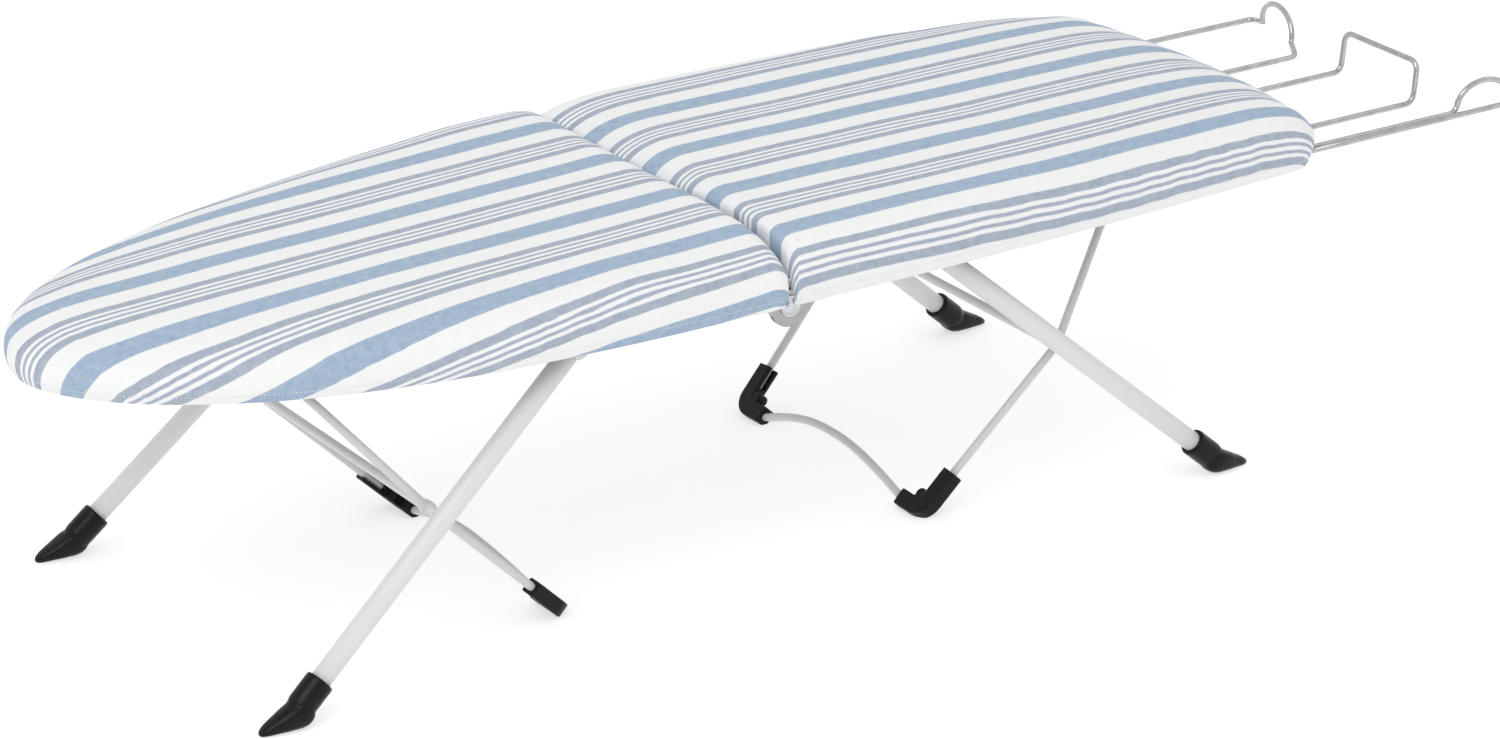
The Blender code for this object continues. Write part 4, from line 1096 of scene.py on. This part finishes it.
def make_lug(half, side):
    """A hinge side plate: a long tongue that ends in a round eye, with softened edges."""
    sign = SIGN[half]
    outer = HALF_WIDTH - LUG_INSET[half]
    eye = []
    for k in range(41):
        angle = math.radians(-25 - 215 * k / 40)
        eye.append((LUG_EYE_RADIUS * math.cos(angle), HINGE_Z + LUG_EYE_RADIUS * math.sin(angle)))
    outline = [(8, 206), (58, 212.5), (60, 211), (60, 204), (58, 203), (24, 202)] + eye + [(-2, 205)]
    flat = [Vector((sign * x, side * outer, z)) for x, z in outline]
    rings = []
    levels = [(-LUG_THICKNESS, 0), (-LUG_THICKNESS + 0.3, 0), (-0.35, 0), (-0.1, 0.15), (0, 0.4)]
    for depth, shrink in levels:
        for i, point in enumerate(flat):
            along = (flat[(i + 1) % len(flat)] - flat[i - 1]).normalized()
            inward = Vector((-along.z, 0, along.x)) * sign
            rings.append(point + inward * shrink + Vector((0, side * depth, 0)))
    where = f"{half}_{SIDE_NAME[side]}"
    make_piece("hinge_lug_" + where, (rings, ring_faces(len(levels), len(flat))), "lug",
               half + "_half", ["hinge_plate_" + where], False)


for half in ("tail", "nose"):
    for side in (-1, 1):
        make_lug(half, side)


# ---- iron rest

REST_INNER_X = 397.0
REST_LOOP_X = 553.0
REST_LOOP_HEIGHT = 28.5
REST_FAR_FOOT_X = 572.0
REST_CURL_X = 587.0
REST_CURL_RADIUS = 21.0
REST_WIRE_RADIUS = 2.0


def rest_path():
    """The single bent wire of the iron rest, from the far run to the near run."""
    z = REST_Z
    far_outer, far_inner, middle_far, middle_near, near = REST_RUNS
    near_inner, near_outer = near + 2.5, near - 2.5
    start = (REST_INNER_X, far_outer - 12, z)
    corner = (REST_INNER_X, far_outer, z)
    outer_foot = (REST_FAR_FOOT_X, far_outer, z)
    arch = []
    for k in range(25):
        angle = math.pi * k / 24
        y = 67.5 + 23.5 * math.cos(angle)
        lift = 5 + 19.5 * math.sin(angle)
        arch.append((REST_FAR_FOOT_X - 6 - 12 * k / 24, y, z + lift))
    path = round_corners([start, corner, outer_foot], 5, 8)[:-1]
    path += round_corners([corner, outer_foot, arch[0]], 5, 8)[1:-1]
    path += arch
    curl_x = REST_CURL_X - REST_CURL_RADIUS
    loop_top = z + REST_LOOP_HEIGHT
    corners = [arch[-1], (REST_LOOP_X - 6, far_inner, z), (REST_INNER_X, far_inner, z),
               (REST_INNER_X, middle_far, z), (REST_LOOP_X, middle_far, z),
               (REST_LOOP_X + 3, middle_far, loop_top), (REST_LOOP_X + 3, middle_near, loop_top),
               (REST_LOOP_X, middle_near, z), (REST_INNER_X, middle_near, z),
               (REST_INNER_X, near_inner, z), (curl_x, near_inner, z), (curl_x, near_inner, z + 14)]
    path += round_corners(corners, 7, 9)[1:-1]
    for k in range(1, 24):
        angle = math.pi * (1 - k / 24)
        x = REST_CURL_X + REST_CURL_RADIUS * math.cos(angle)
        y = near_inner + (near_outer - near_inner) * k / 24
        path.append((x, y, z + 5 + 15 * math.sin(angle)))
    end = (REST_CURL_X + REST_CURL_RADIUS, near_outer, z)
    path += round_corners([path[-1], end, (REST_INNER_X, near_outer, z)], 4, 8)[1:]
    return path


rest = sweep(rest_path(), round_section(REST_WIRE_RADIUS))
make_piece("iron_rest_rod", rest, "chrome", "iron_rest", ["iron_rest_wire"])


# ---- frame pieces kept from the CAD

KEPT = {
    "rim": "paint", "hinge_rail": "paint", "deck": "zinc", "leg_bracket": "zinc", "latch_plate": "zinc",
    "rest_guide": "zinc",
}
for name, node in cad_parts.items():
    for part, look in KEPT.items():
        if part in name:
            node.data.materials.clear()
            node.data.materials.append(LOOKS[look])
            edge = node.modifiers.new("edge", "BEVEL")
            edge.width = 0.0003
            edge.segments = 2
            edge.limit_method = "ANGLE"
            edge.angle_limit = math.radians(40)


# ---- stage

FLOOR_TONE = 0.50
FLOOR_GLOW = 0.62
WORLD_LIGHT = 0.86
PHOTO_LENS = 126.97
CAMERA_PLACE = (-1.77535, -2.68399, 1.41471)


def make_floor():
    """A wide pale floor."""
    mesh = bpy.data.meshes.new("floor")
    mesh.from_pydata([(-30, -30, 0), (30, -30, 0), (30, 30, 0), (-30, 30, 0)], [], [(0, 1, 2, 3)])
    material, _, shader = new_material("floor_paper", 0.9)
    shader.inputs["Base Color"].default_value = (FLOOR_TONE, FLOOR_TONE, FLOOR_TONE, 1)
    shader.inputs["Specular IOR Level"].default_value = 0.1
    shader.inputs["Emission Color"].default_value = (1, 1, 1, 1)
    shader.inputs["Emission Strength"].default_value = FLOOR_GLOW
    mesh.materials.append(material)
    floor = bpy.data.objects.new("floor", mesh)
    bpy.context.collection.objects.link(floor)


def make_light(name, position, target, size, power):
    """A square soft light aimed at a point."""
    lamp = bpy.data.lights.new(name, "AREA")
    lamp.shape = "SQUARE"
    lamp.size = size
    lamp.energy = power
    light = bpy.data.objects.new(name, lamp)
    bpy.context.collection.objects.link(light)
    light.location = position
    light.rotation_mode = "QUATERNION"
    light.rotation_quaternion = (Vector(target) - Vector(position)).to_track_quat("-Z", "Y")


make_floor()
world = bpy.data.worlds.new("studio")
bpy.context.scene.world = world
world.use_nodes = True
background = world.node_tree.nodes["Background"]
background.inputs["Color"].default_value = (1.0, 1.0, 1.0, 1)
background.inputs["Strength"].default_value = WORLD_LIGHT
make_light("key", (-1.9, -1.3, 2.6), (0, 0, 0.1), 2.0, 30)
make_light("fill", (2.2, -0.6, 1.9), (0, 0, 0.15), 2.0, 3)
bpy.context.scene.view_settings.view_transform = "Standard"

camera_data = bpy.data.cameras.new("photo_view")
camera_data.lens = PHOTO_LENS
camera_data.sensor_width = 36
camera_data.clip_end = 100
camera = bpy.data.objects.new("photo_view", camera_data)
bpy.context.collection.objects.link(camera)
right = Vector((0.83494, -0.55034, 0))
up = Vector((0.21054, 0.31943, 0.92393))
backward = Vector((-0.50848, -0.77142, 0.38257))
turn = Matrix((right, up, backward)).transposed().to_4x4()
camera.matrix_world = Matrix.Translation(CAMERA_PLACE) @ turn
bpy.context.scene.camera = camera

bpy.context.view_layer.update()
